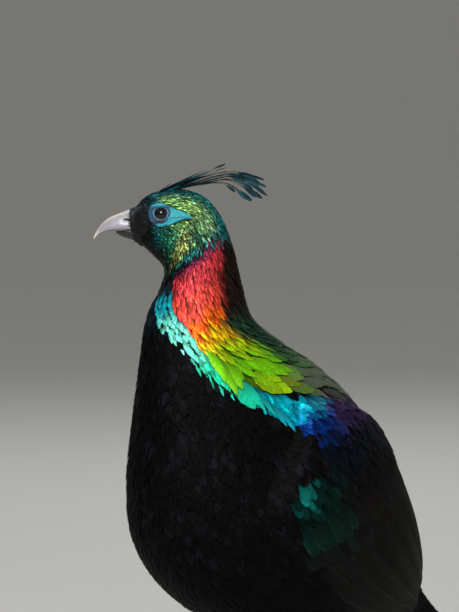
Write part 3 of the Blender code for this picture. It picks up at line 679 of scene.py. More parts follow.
def paint_mesh(mesh, paint, sheen, uvs):
    """Stores colour, sheen and UV maps, all given for each point."""
    rgba = np.ones((len(mesh.vertices), 4), np.float32)
    rgba[:, :3] = paint
    mesh.attributes.new("plume", "FLOAT_COLOR", "POINT").data.foreach_set("color", rgba.ravel())
    glow = np.broadcast_to(sheen, len(mesh.vertices)).astype(np.float32)
    mesh.attributes.new("sheen", "FLOAT", "POINT").data.foreach_set("value", glow)
    corner = np.zeros(len(mesh.loops), np.int32)
    mesh.loops.foreach_get("vertex_index", corner)
    for name, uv in uvs.items():
        layer = mesh.uv_layers.new(name=name)
        layer.data.foreach_set("uv", uv[corner].astype(np.float32).ravel())


def put(name, data):
    """A new object in the scene."""
    made = bpy.data.objects.new(name, data)
    bpy.context.scene.collection.objects.link(made)
    return made


def settle(name, mesh, material, replaces=()):
    """Puts a piece in the scene, in place, under the body's root, and hides the solid parts that it replaces.
    """
    mesh.shade_smooth()
    mesh.materials.append(material)
    made = put(name, mesh)
    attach(made, "root")
    if replaces:
        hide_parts(*replaces)
    return made


def coat_pieces(name, sets, material, replaces=()):
    """Joins sets of feathers into pieces that each stay under the limit of triangles."""
    groups, room = [[]], LIMIT_PER_PIECE
    for group in sets:
        if group["triangles"] > room and groups[-1]:
            groups.append([])
            room = LIMIT_PER_PIECE
        groups[-1].append(group)
        room -= group["triangles"]
    for number, group in enumerate(groups):
        starts = np.cumsum([0] + [len(part["points"]) for part in group[:-1]])
        faces = []
        for kind in ("quads", "caps"):
            for width in sorted({part[kind].shape[1] for part in group}):
                parts = [part[kind] + start for part, start in zip(group, starts)
                         if part[kind].shape[1] == width]
                faces.append(np.concatenate(parts))
        whole = {key: np.concatenate([part[key] for part in group])
                 for key in ("points", "paint", "sheen", "brim", "vane", "bake")}
        mesh = new_mesh(name, whole["points"], faces)
        sharpen(mesh, whole["brim"])
        paint_mesh(mesh, whole["paint"], whole["sheen"], {"OFBake": whole["bake"], "Vane": whole["vane"]})
        label = name if len(groups) == 1 else f"{name}_{number + 1}"
        settle(label, mesh, material, replaces if number == 0 else ())


def sharpen(mesh, brim):
    """Marks the edges along the blades' brims as sharp, so that each blade is shaded as a thin one."""
    ends = np.zeros(len(mesh.edges) * 2, np.int32)
    mesh.edges.foreach_get("vertices", ends)
    sharp = brim[ends[0::2]] & brim[ends[1::2]]
    mesh.attributes.new("sharp_edge", "BOOLEAN", "EDGE").data.foreach_set("value", sharp)


def scatter(rng, start, end, spacing):
    """Roots spread evenly over the body between two stations, each spacing(t, v) from the next."""
    first, last = int(start * CHART_ROWS), int(end * CHART_ROWS)
    i, j = np.meshgrid(np.arange(first, last), np.arange(CHART_COLUMNS), indexing="ij")
    cell_t, cell_v = i / CHART_ROWS, j * CIRCLE / CHART_COLUMNS
    weight = (AREA[i, j] / spacing(cell_t, cell_v) ** 2).ravel()
    pick = rng.choice(weight.size, int(weight.sum() * TRIES), p=weight / weight.sum())
    t = cell_t.ravel()[pick] + rng.random(pick.size) / CHART_ROWS
    v = cell_v.ravel()[pick] + rng.random(pick.size) * CIRCLE / CHART_COLUMNS
    points, reach = over_body(t, v, np.zeros(t.shape)), spacing(t, v)
    tree = KDTree(len(points))
    for number, point in enumerate(points):
        tree.insert(point, number)
    tree.balance()
    free, kept = [True] * len(points), []
    for number, point in enumerate(points):
        if free[number]:
            kept.append(number)
            for _, other, _ in tree.find_range(point, reach[number]):
                free[other] = False
    return t[kept], v[kept]


def draws(name):
    """The random draws of one kind of feather, the same at every run."""
    return np.random.default_rng(SEEDS[name])


def speckle(rng, paint, amount):
    """Gives each feather its own brightness, with a few that lie in shade or catch the light."""
    count = len(paint)
    tone = np.exp(rng.normal(0, 1, count) * amount)
    lot = rng.random(count)
    few = np.minimum(amount * 4, 1)
    tone = tone * np.where(lot < IN_SHADE, 1 - SHADE_LOSS * few, 1)
    tone = tone * np.where(lot > 1 - IN_LIGHT, 1 + LIGHT_GAIN * few, 1)
    return np.clip(paint * tone[:, None], 0, 1)


def unwrap(t, v, start, end):
    """Places on the unwrap of one stretch of the body."""
    along = 0.01 + 0.98 * (t - start) / (end - start)
    return np.stack([along, 0.01 + 0.98 * np.mod(v, CIRCLE) / CIRCLE], -1)


def eye_place(name):
    """The eye's middle, its outward way, and its station and angle on the head."""
    low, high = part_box("eye_" + name)
    middle = np.array((low + high) / 2)
    rows = int(3 * CHART_ROWS)
    gap = np.linalg.norm(CHART[:rows, :, :3] - middle, axis=-1)
    i, j = np.unravel_index(gap.argmin(), gap.shape)
    return middle, Vector(CHART[i, j, 3:]), i / CHART_ROWS, j * CIRCLE / CHART_COLUMNS


EYE_RADIUS, LID_RISE, SKIN_START = 0.007, 0.005, 0.0055
# Outline of the bare skin from the eye's middle: towards the tail and down, in metres
FACE_LINE = ((0.0285, -0.0034), (0.0215, 0.0010), (0.0145, 0.0062), (0.0060, 0.0106), (-0.0020, 0.0112),
             (-0.0085, 0.0078), (-0.0115, 0.0010), (-0.0105, -0.0055), (-0.0060, -0.0092), (0.0000, -0.0098),
             (0.0060, -0.0082), (0.0110, -0.0056), (0.0190, -0.0046))


def in_face_skin(t, v, margin):
    """True inside the bare skin round either eye."""
    inside = np.zeros(np.shape(t), bool)
    line = np.array(FACE_LINE)
    around, far = np.arctan2(line[:, 1], line[:, 0]), np.linalg.norm(line, axis=1)
    order = np.argsort(around)
    for name in ("left", "right"):
        _, _, eye_t, eye_v = eye_place(name)
        side = face_side(eye_v)
        x = read(REACH, t, v) - read(REACH, np.full(np.shape(t), eye_t), v)
        y = side * (np.mod(v - eye_v + np.pi, CIRCLE) - np.pi) * read(GIRTH, t, v)
        reach = np.interp(np.arctan2(y, x), around[order], far[order], period=CIRCLE)
        inside |= np.hypot(x, y) < reach - margin
    return inside


def set_inputs(tree, node, inputs):
    """Sets a node's inputs, each given as a value or as the output that feeds it."""
    for place, value in inputs.items():
        if isinstance(value, bpy.types.NodeSocket):
            tree.links.new(value, node.inputs[place])
        else:
            node.inputs[place].default_value = value


def add_node(tree, kind, inputs, **settings):
    """Adds a shader node with its settings and inputs."""
    made = tree.nodes.new("ShaderNode" + kind)
    for name, value in settings.items():
        setattr(made, name, value)
    set_inputs(tree, made, inputs)
    return made


def new_material(name):
    """A material, its tree of nodes and its main shader."""
    made = bpy.data.materials.new(name)
    made.use_nodes = True
    return made, made.node_tree, made.node_tree.nodes["Principled BSDF"]


def barb_group():
    """Streaks along the barbs of a vane: they vary its colour, roughness and relief."""
    group = bpy.data.node_groups.get("barb_streaks")
    if group:
        return group
    group = bpy.data.node_groups.new("barb_streaks", "ShaderNodeTree")
    group.interface.new_socket("Colour", in_out="INPUT", socket_type="NodeSocketColor")
    for name, value in (("Sheen", 0.5), ("Contrast", 0.4), ("Relief", 0.5)):
        socket = group.interface.new_socket(name, in_out="INPUT", socket_type="NodeSocketFloat")
        socket.default_value = value
    for name, kind in (("Colour", "Color"), ("Roughness", "Float"), ("Normal", "Vector")):
        group.interface.new_socket(name, in_out="OUTPUT", socket_type="NodeSocket" + kind)
    enter, leave = group.nodes.new("NodeGroupInput"), group.nodes.new("NodeGroupOutput")
    vane = add_node(group, "UVMap", {}, uv_map="Vane")
    split = add_node(group, "SeparateXYZ", {0: vane.outputs["UV"]})
    side = add_node(group, "Math", {0: split.outputs["X"]}, operation="ABSOLUTE")
    # The barbs slant towards the tip on both sides of the shaft
    lean = add_node(group, "Math", {0: side.outputs[0], 1: BARB_SLANT, 2: split.outputs["Y"]},
                    operation="MULTIPLY_ADD")
    joined = add_node(group, "CombineXYZ", {"X": lean.outputs[0], "Y": split.outputs["X"]})
    stretch = add_node(group, "Mapping", {"Vector": joined.outputs[0], "Scale": BARB_STRETCH})
    noise = add_node(group, "TexNoise", {"Vector": stretch.outputs[0], "Scale": 1, "Detail": 3.0})
    tone = add_node(group, "MapRange", {"Value": noise.outputs[0], "From Min": 0.3, "From Max": 0.7,
                                        "To Min": -1, "To Max": 1.0})
    gain = add_node(group, "Math", {0: tone.outputs[0], 1: enter.outputs["Contrast"], 2: 1.0},
                    operation="MULTIPLY_ADD")
    coloured = add_node(group, "VectorMath", {0: enter.outputs["Colour"], "Scale": gain.outputs[0]},
                        operation="SCALE")
    rough = add_node(group, "MapRange", {"Value": enter.outputs["Sheen"], "To Min": 0.62, "To Max": 0.34})
    bump = add_node(group, "Bump", {"Strength": enter.outputs["Relief"], "Distance": 0.0004,
                                    "Height": noise.outputs[0]})
    set_inputs(group, leave, {"Colour": coloured.outputs[0], "Roughness": rough.outputs[0],
                              "Normal": bump.outputs[0]})
    return group


def plumage_material(name, contrast, relief, specular=0.3):
    """Feathers coloured point by point, with the barbs' streaks over them."""
    made, tree, shader = new_material(name)
    paint = add_node(tree, "Attribute", {}, attribute_name="plume").outputs["Color"]
    sheen = add_node(tree, "Attribute", {}, attribute_name="sheen").outputs["Fac"]
    barbs = add_node(tree, "Group", {"Colour": paint, "Sheen": sheen, "Contrast": contrast, "Relief": relief},
                     node_tree=barb_group()).outputs
    set_inputs(tree, shader, {"Base Color": barbs["Colour"], "Roughness": barbs["Roughness"],
                              "Normal": barbs["Normal"], "Metallic": sheen, "Specular IOR Level": specular})
    return made


def painted_material(name, roughness, relief, scale, specular=0.5, coat=0, stretch=(1, 1, 1),
                     cells=False):
    """Skin or horn coloured point by point, with a grain in its relief and roughness."""
    made, tree, shader = new_material(name)
    paint = add_node(tree, "Attribute", {}, attribute_name="plume")
    place = add_node(tree, "TexCoord", {})
    fit = add_node(tree, "Mapping", {"Vector": place.outputs["Object"], "Scale": stretch})
    grain = {"Vector": fit.outputs[0], "Scale": scale}
    if cells:
        height = add_node(tree, "TexVoronoi", grain).outputs["Distance"]
        low_tone, high_tone = 1.15, 0.55
    else:
        height = add_node(tree, "TexNoise", {**grain, "Detail": 4.0}).outputs[0]
        low_tone, high_tone = 0.8, 1.2
    tone = add_node(tree, "MapRange", {"Value": height, "To Min": low_tone, "To Max": high_tone})
    coloured = add_node(tree, "VectorMath", {0: paint.outputs["Color"], "Scale": tone.outputs[0]},
                        operation="SCALE")
    rough = add_node(tree, "MapRange", {"Value": height, "To Min": roughness - 0.08,
                                        "To Max": roughness + 0.12})
    bump = add_node(tree, "Bump", {"Strength": relief, "Distance": 0.0005, "Height": height}, invert=cells)
    set_inputs(tree, shader, {"Base Color": coloured.outputs[0], "Roughness": rough.outputs[0],
                              "Normal": bump.outputs[0], "Specular IOR Level": specular,
                              "Coat Weight": coat, "Coat Roughness": 0.15})
    return made


def closed_form(rings, round_rows=False):
    """Points and faces of a closed form through rings, turned outwards. Its ends are capped."""
    rings = np.asarray(rings)
    rows, columns = rings.shape[:2]
    points = rings.reshape(-1, 3)
    quads, caps = outwards(points, grid_faces(rows, columns, round_rows), end_faces(rows, columns))
    return points, [quads] if round_rows else [quads, caps]


def join_forms(forms):
    """Several closed forms with their colours as one set of arrays."""
    points, paint, faces, start = [], [], [], 0
    for form_points, form_faces, form_paint in forms:
        points.append(form_points)
        paint.append(np.broadcast_to(form_paint, (len(form_points), 3)))
        faces += [part + start for part in form_faces]
        start += len(form_points)
    return np.concatenate(points), faces, np.concatenate(paint)


def form_piece(name, forms, material, replaces=()):
    """A piece of horn, skin or eye made of closed forms."""
    points, faces, paint = join_forms(forms)
    mesh = new_mesh(name, points, faces)
    low, high = points.min(0), points.max(0)
    flat = (points - low) / (high - low + 1e-6)
    paint_mesh(mesh, paint, 0, {"UVMap": flat[:, [0, 2]]})
    settle(name, mesh, material, replaces)


def round_limb(start, end):
    """A limb's own direction and two directions across it."""
    way = (end - start) / np.linalg.norm(end - start)
    first = np.array((0, 1, 0)) - way * way[1]
    first /= np.linalg.norm(first)
    return way, first, np.cross(way, first)


def radius_at(radii, share):
    """The radius at this share of a limb's length."""
    return curve([(radius,) for radius in radii], share * (len(radii) - 1))[..., 0]


def limb(start, end, radii, rows, sides):
    """Rings along a straight limb, with its radii spread evenly from end to end."""
    start, end = np.array(start), np.array(end)
    _, first, second = round_limb(start, end)
    share = np.linspace(0, 1, rows)
    turn = CIRCLE * np.arange(sides) / sides
    ring = np.cos(turn)[:, None] * first + np.sin(turn)[:, None] * second
    middle = (start + (end - start) * share[:, None])[:, None, :]
    return middle + ring[None] * radius_at(radii, share)[:, None, None]


def on_side(point, side):
    """A point of the left leg, or its mirror image, where the bird stands."""
    return np.array((point[0] + STAND_SHIFT, -side * point[1], point[2]))


# How far the skin lies inside the plumage of wings and thighs
LIMB_DEPTH = 0.0022


def coat_depth(t):
    """How far the skin lies inside the plumage."""
    return np.interp(t, (0, 0.7, 4, 6, 9, 16, 18),
                     (0.0002, 0.0012, 0.0016, 0.0024, 0.0040, 0.0040, 0.0024))


class MONAL_OT_skin(bpy.types.Operator):
    """Makes the bird's skin, from the bill to the root of the tail and down to the hocks"""

    bl_idname = "monal.skin"
    bl_label = "Skin"

    def execute(self, context):
        rows, columns = 260, 144
        around = ring_of(columns)
        t, v = np.meshgrid(np.linspace(0, BODY_END, rows), around, indexing="ij")
        lift = np.maximum(swell(t, v) - LIMB_DEPTH, 0)
        points, faces = closed_form(over_body(t, v, lift - coat_depth(t)))
        paint, sheen = coat_paint(t, v)
        s, q = wing_share(t, v)
        on_wing = (s > 0) & (q > 0) & (q < 1)
        # The skin takes the coat's and wings' colours at 0.3: its dark down, and painted shade in the gaps
        # between feathers
        paint = np.where(on_wing[..., None], wing_paint(t, down_side(v))[0], paint).reshape(-1, 3) * 0.3
        spot = unwrap(t, v, 0, BODY_END).reshape(-1, 2) * (1, 0.9)
        mesh = new_mesh("skin", points, faces)
        paint_mesh(mesh, paint, sheen.ravel() * 0.4, {"OFBake": spot, "Vane": spot * 20})
        material = plumage_material("down_skin", 0.3, 0.3)
        skin = settle("skin", mesh, material,
                      ("head", "neck", "torso", "thigh_left", "thigh_right"))
        for side in (1, -1):
            radii = [radius - LIMB_DEPTH for radius in THIGH_RADII]
            points, faces = closed_form(limb(on_side(HIP, side), on_side(HOCK, side), radii, 24, 28))
            thigh = new_mesh("thigh", points, faces)
            high = points[:, 2]
            strip = np.stack([high / high.max(), np.full(len(points), 0.95)], -1)
            paint_mesh(thigh, tints("breast", len(points)), 0, {"OFBake": strip, "Vane": strip})
            thigh.materials.append(material)
            self.join(context, skin, thigh)
        return {"FINISHED"}

    def join(self, context, skin, thigh):
        """Joins a thigh to the skin, so that both are one closed surface."""
        other = put("thigh", thigh)
        modifier = skin.modifiers.new("join", "BOOLEAN")
        modifier.object = other
        modifier.operation = "UNION"
        context.view_layer.update()
        joined = bpy.data.meshes.new_from_object(skin.evaluated_get(context.evaluated_depsgraph_get()))
        skin.modifiers.clear()
        skin.data = joined
        bpy.data.objects.remove(other)


class MONAL_OT_eyes(bpy.types.Operator):
    """Makes both eyes, the rims of their lids and the bare blue skin round them"""

    bl_idname = "monal.eyes"
    bl_label = "Eyes and bare skin"

    # Where pupil and iris end, in radians from the middle of the eye, and the colour inside the pupil
    PUPIL_END, IRIS_END, PUPIL = 0.42, 0.78, 0.002
    # Distance between the rings of wrinkles, and how deep the skin reaches into the head
    WRINKLE, SKIN_FOOT = 0.0021, -0.0014

    def execute(self, context):
        glossy = painted_material("eye_surface", 0.12, 0, 40, specular=0.25, coat=0.35)
        soft = painted_material("bare_skin", 0.42, 0.6, 1900, coat=0.15, cells=True)
        for name in ("left", "right"):
            middle, out, eye_t, eye_v = eye_place(name)
            turn = np.array(out.to_track_quat("Z", "Y").to_matrix())
            self.globe(name, middle, turn, glossy)
            rims = self.rims(middle, turn)
            form_piece("eyelids_" + name, rims, soft)
            self.bare_skin(name, eye_t, eye_v, soft)
        return {"FINISHED"}

    def globe(self, name, middle, turn, material):
        """The eyeball, with its pupil and iris as rings of colour round its outward pole."""
        rise, around = np.meshgrid(np.linspace(0.004, np.pi - 0.004, 44),
                                   ring_of(40), indexing="ij")
        bulge = EYE_RADIUS * (1 + 0.05 * fade(rise, 0.7, 0.5))
        local = np.stack([bulge * np.sin(rise) * np.cos(around), bulge * np.sin(rise) * np.sin(around),
                          bulge * np.cos(rise)], -1)
        points, faces = closed_form(middle + local @ turn.T)
        paint = mix(np.full(3, self.PUPIL), tint("iris"), ease((rise - self.PUPIL_END) / 0.08))
        paint = mix(paint, tint("iris") * 0.3, ease((rise - self.IRIS_END) / 0.1))
        form_piece("eyeball_" + name, [(points, faces, paint.reshape(-1, 3))], material,
                   ("eye_" + name,))

    def rims(self, middle, turn):
        """The lids' pale rim, pinched at the eye's corners, inside a softer fold of blue skin."""
        around = ring_of(96)[:, None]
        ring = ring_of(12)[None, :]
        forms = []
        # Distance from the eye's middle line, thickness, depth of the folds across it and colour
        for reach, thick, notches, shade_of in ((0.0060, 0.00062, 0, tint("eye_ring")),
                                                (0.0071, 0.0009, 0.012, tint("face_blue") * 0.7)):
            notch = 1 + notches * np.sin(around * 29)
            wide = (reach + thick * np.cos(ring) + 0.0005 * np.abs(np.cos(around)) ** 8) * notch
            drop = (wide * np.sin(around)) ** 2 / 0.046
            local = np.stack([wide * np.cos(around), wide * np.sin(around) * 0.95,
                              LID_RISE - drop + thick * np.sin(ring)], -1)
            points, faces = closed_form(middle + local @ turn.T, True)
            forms.append((points, faces, shade_of))
        return forms

    def bare_skin(self, name, eye_t, eye_v, material):
        """Wrinkled, warty skin from the lids out to the feathers, thin at its edge."""
        line = curve(FACE_LINE + FACE_LINE[:1], np.linspace(0, len(FACE_LINE), 96, endpoint=False))
        share = np.linspace(0, 1, 22)
        side = face_side(eye_v)
        rng = draws("face")
        loops, shades = [], []
        for x, y in line:
            far = math.hypot(x, y)
            reach = SKIN_START + (far - SKIN_START) * share
            px, py = x / far * reach, y / far * reach
            ripple = 0.8 * math.sin(5 * math.atan2(y, x))
            fold = np.cos((reach - SKIN_START) * CIRCLE / self.WRINKLE + ripple)
            crown = 0.0005 * (1 - share ** 3) + 0.00016 * fold + 0.0002
            warts = rng.normal(0, 0.00012, share.size) * (share > 0.12) * (share < 0.97)
            top = np.stack([px, py, crown + warts - 0.0004 * (share > 0.99)], -1)
            low = np.stack([px, py, np.full(share.shape, self.SKIN_FOOT)], -1)[::-1]
            loops.append(np.concatenate([top, low]))
            # A dark line below the eye, where the skin folds: painted shade that breaks the bright skin
            seam = np.exp(-((py - 0.0050 + 0.34 * (px - 0.006)) / 0.0005) ** 2) * grow(px, 0.004, 0.003)
            lower = np.abs(py - 0.0098 + 0.46 * np.maximum(px - 0.002, 0)) - 0.0008
            bright = grow(px, 0.0050, 0.0035) * ease((py + 0.0056 + 0.2 * px) / 0.0030) * (1 - 0.9 * seam)
            bright = np.maximum(bright, 0.8 * fade(lower, 0.0011, 0.0012) * ease((px + 0.005) / 0.004))
            # A painted glint of light on the skin's upper front
            bright = np.maximum(bright, 0.95 * fade(py, -0.0062, 0.0015) * fade(px, 0.006, 0.005))
            # A dark band under the eye, painted shade of the same fold, and darker skin towards the front
            # edge
            under = grow(py, 0.0058, 0.001) * fade(py, 0.0092, 0.0012) * fade(px, 0.006, 0.004)
            under = np.maximum(under, 0.5 * fade(px, -0.0085, 0.002))
            shade_line = mix(tints("face_blue", share.size), tint("face_bright"), bright)
            shade_line = mix(shade_line, tint("face_dark"), under)
            # Painted shade in the wrinkles' valleys, and painted light on their ridges and the warts' tops
            shade_line = shade_line * (0.88 + 0.3 * fold + 1100 * warts)[:, None]
            # The sides that reach down into the head take 0.3 of the top's colour, as painted shade
            shades.append(np.clip(np.concatenate([shade_line, shade_line[::-1] * 0.3]), 0, 1))
        loops = np.array(loops)
        x, y, z = np.moveaxis(loops.reshape(1, -1, 3), -1, 0)
        points = lay_on_body(np.array([eye_t]), np.array([eye_v]), x, y * side, z)
        points, faces = closed_form(points.reshape(loops.shape), True)
        form_piece("face_skin_" + name, [(points, faces, np.array(shades).reshape(-1, 3))], material)


class MONAL_OT_bill(bpy.types.Operator):
    """Makes the two halves of the bill, with the nostrils and the line of the mouth"""

    bl_idname = "monal.bill"
    bl_label = "Bill"

    # How deep the nostril is sunk, how far its hood stands out, and how far the base reaches into the head
    NOSTRIL_DEPTH, HOOD, FOOT_DEPTH = 0.0014, 0.0005, 0.0016

    def execute(self, context):
        horn = painted_material("bill_surface", 0.34, 0.35, 260, coat=0.25, stretch=(0.35, 1, 1.6))
        self.half("bill_upper", BILL_UPPER, 1, horn)
        self.half("bill_lower", BILL_LOWER, -1, horn)
        return {"FINISHED"}

    def half(self, name, rows, crown, material):
        """One mandible, arched on its outer side and sharp along the cutting edge."""
        count, sides = 64, 40
        at = np.linspace(0, len(rows) - 1, count)
        top_x, top_z, low_x, low_z, half = (x[:, None] for x in np.moveaxis(curve(rows, at), -1, 0))
        a = CIRCLE * np.arange(sides)[None, :] / sides
        height = np.maximum(np.cos(a), -0.3)
        wide = np.sin(a) * (1 - 0.25 * np.maximum(height, 0))
        share = 0.5 + crown * (height - 0.35) / 1.3
        x = low_x + (top_x - low_x) * share
        z = low_z + (top_z - low_z) * share
        left = half * wide
        along = np.broadcast_to(at[:, None] / (len(rows) - 1), x.shape)
        if crown > 0:
            gap = ((x - NOSTRIL_AT[0]) / 0.0042) ** 2 + ((z - NOSTRIL_AT[1] + 0.0004) / 0.0013) ** 2
            hood = ((x - NOSTRIL_AT[0]) / 0.0052) ** 2 + ((z - NOSTRIL_AT[1] - 0.0016) / 0.0022) ** 2
            groove = np.exp(-gap) * (np.abs(wide) > 0.5)
            left = left + np.sign(left) * (self.HOOD * np.exp(-hood) - self.NOSTRIL_DEPTH * groove)
        inward = self.FOOT_DEPTH * (along < 1e-6)
        points, faces = closed_form(turned(x + inward, left, z))
        paint = mix(np.tile(tint("horn"), (*x.shape, 1)), tint("horn_pale"), grow(along, 0.72, 0.2))
        if crown > 0:
            ridge = np.broadcast_to(grow(height, 0.72, 0.25), x.shape)
            paint = mix(paint, tint("horn_pale"), 0.8 * ridge)
        edge = np.broadcast_to(ease((-0.12 - np.cos(a)) / 0.1), x.shape)
        paint = mix(paint, tint("horn_dark"), 0.75 * edge)
        if crown > 0:
            base = fade(along, 0.17, 0.1) * fade(height, 0.80, 0.2) * ease((height + 0.15) / 0.2)
            paint = mix(paint, tint("horn_dark"), 0.85 * base)
            # The nostril's groove painted near black: painted shade in the recess
            paint = mix(paint, tint("horn_dark") * 0.3, ease(groove * 2.2))
        else:
            # The lower mandible nearly black: its own dark horn, darkened further as painted shade under the
            # upper one
            paint = mix(paint, tint("horn_dark") * 0.2, 0.99)
        form_piece(name + "_horn", [(points, faces, paint.reshape(-1, 3))], material, (name,))


class MONAL_OT_head_feathers(bpy.types.Operator):
    """Lays small scale-like feathers over the head, smallest round the eye and the bill"""

    bl_idname = "monal.head_feathers"
    bl_label = "Head feathers"

    BRISTLES, BRISTLE_LENGTH, BRISTLE_WIDTH = 700, 0.006, 0.0012

    def execute(self, context):
        sizes = context.scene.monal_sizes
        rng = draws("head")

        def spacing(t, v):
            w = down_side(v)
            face = fade(t, 2.6, 1.6) * grow(w, 20, 30) * fade(w, 150, 30)
            gap = sizes.crown_gap + (sizes.face_gap - sizes.crown_gap) * face
            return gap + 0.0005 * grow(t, 3.2, 1)

        t, v = scatter(rng, 0, 4.55, spacing)
        keep = ~in_face_skin(t, v, rng.uniform(0, 0.0016, len(t))) & (t > rng.uniform(0.15, 0.45, len(t)))
        t, v = only(keep, t, v)
        gap = spacing(t, v)
        count = len(t)
        streak = ease((84 - down_side(v)) / 24)
        long = gap * rng.uniform(2.5, 3.3, count) * (1 + 0.5 * streak)
        wide = gap * rng.uniform(1.15, 1.5, count) * (1 - 0.22 * streak)
        yaw = rng.normal(0, 0.16, count) * (1 - 0.4 * streak)
        tip, tip_v = reach_of(t, v, long * 0.8, yaw)
        paint, sheen = coat_paint(tip + rng.normal(0, 0.1, count), tip_v + rng.normal(0, 0.06, count))
        hue = np.stack([tint(name) for name in ("nape", "jaw", "cheek_gold")])[rng.integers(0, 3, count)]
        part = 0.45 * rng.random(count) ** 2
        paint = mix(paint, hue, part * grow(tip, 1.6, 0.8) * fade(tip, 4.2, 0.3))
        paint = speckle(rng, paint, 0.6)
        lift = rng.uniform(0, 0.0003, count)
        high = lift - np.where(in_face_skin(t, v, -0.003), 0.0002, 0)
        points = lay_on_body(t, v, *blades(SCALE, long, wide, FINE_VANE, 0.1, -0.75 * coat_depth(t), high,
                                           yaw, rng.normal(0, 0.05, count)))
        whole = shade(SCALE, paint, 0.15, 1.15, 0.3)
        sets = feather_parts(SCALE, 2, points, whole, sheen, unwrap(t, v, *HEAD_STRETCH), long, wide)
        sets += [self.bristles(side) for side in (1, -1)]
        coat_pieces("head_feathers", sets, plumage_material("head_coat", 0.25, 0.25))
        return {"FINISHED"}

    def bristles(self, side):
        """Small dark feathers that point forward from the brow and the lores over the bill's base."""
        rng = draws("bristles")
        count = self.BRISTLES
        high = rng.uniform(-0.9, 0.96, count)
        long = self.BRISTLE_LENGTH * rng.uniform(0.65, 1.2, count) * (1 - 0.35 * fade(high, -0.4, 0.4))
        wide = np.full(count, self.BRISTLE_WIDTH)
        x, y, z = blades(SCALE, long, wide, FINE_VANE, 0.1, -0.0003, rng.uniform(0.0002, 0.0007, count),
                         rng.normal(0, 0.2, count), rng.normal(0, 0.1, count))
        slope = -0.1 - 0.25 * high[:, None]
        spread = 0.012 - 0.006 * fade(high, -0.1, 0.4)
        root_x = -0.058 + spread * rng.random(count) ** 1.3 - 0.0014 * (1 - high ** 2)
        head_x = root_x[:, None] - x * np.cos(slope) + y * np.sin(slope)
        # Brightness by height: near black on the lores, their own colour, a little brighter lowest down, and
        # a painted highlight up to twice as bright on the brow
        dark = grow(high, 0.58, 0.2) * 1.9 + 0.1 + 0.35 * fade(high, -0.3, 0.3)
        # The head's middle height, half height and half width from the bill's side back to the brow
        at = (-0.07, -0.0611, -0.0585, -0.054, -0.046)
        middle, half, wide_here = (np.interp(head_x, at, values) for values in (
            (0.4768, 0.4737, 0.4735, 0.4730, 0.4729),
            (0.0088, 0.0145, 0.0160, 0.0205, 0.0262),
            (0.0078, 0.0086, 0.0098, 0.0125, 0.0166)))
        level = np.clip(high[:, None] + (y * np.cos(slope)) / half, -0.995, 0.995)
        left = side * (z - 0.0007 + wide_here * (1 - level ** 2) ** 0.45)
        points = turned(head_x, left, middle + half * level)
        paint = speckle(rng, tint("forehead") * dark[:, None], 0.6)
        spot = np.stack([np.full(count, 0.01), 0.3 + 0.4 * (high + 1) / 2], -1)
        return feather_set(SCALE, points, shade(SCALE, paint, 0.3, 1.1, 0.3), 0.3, spot, long, wide)


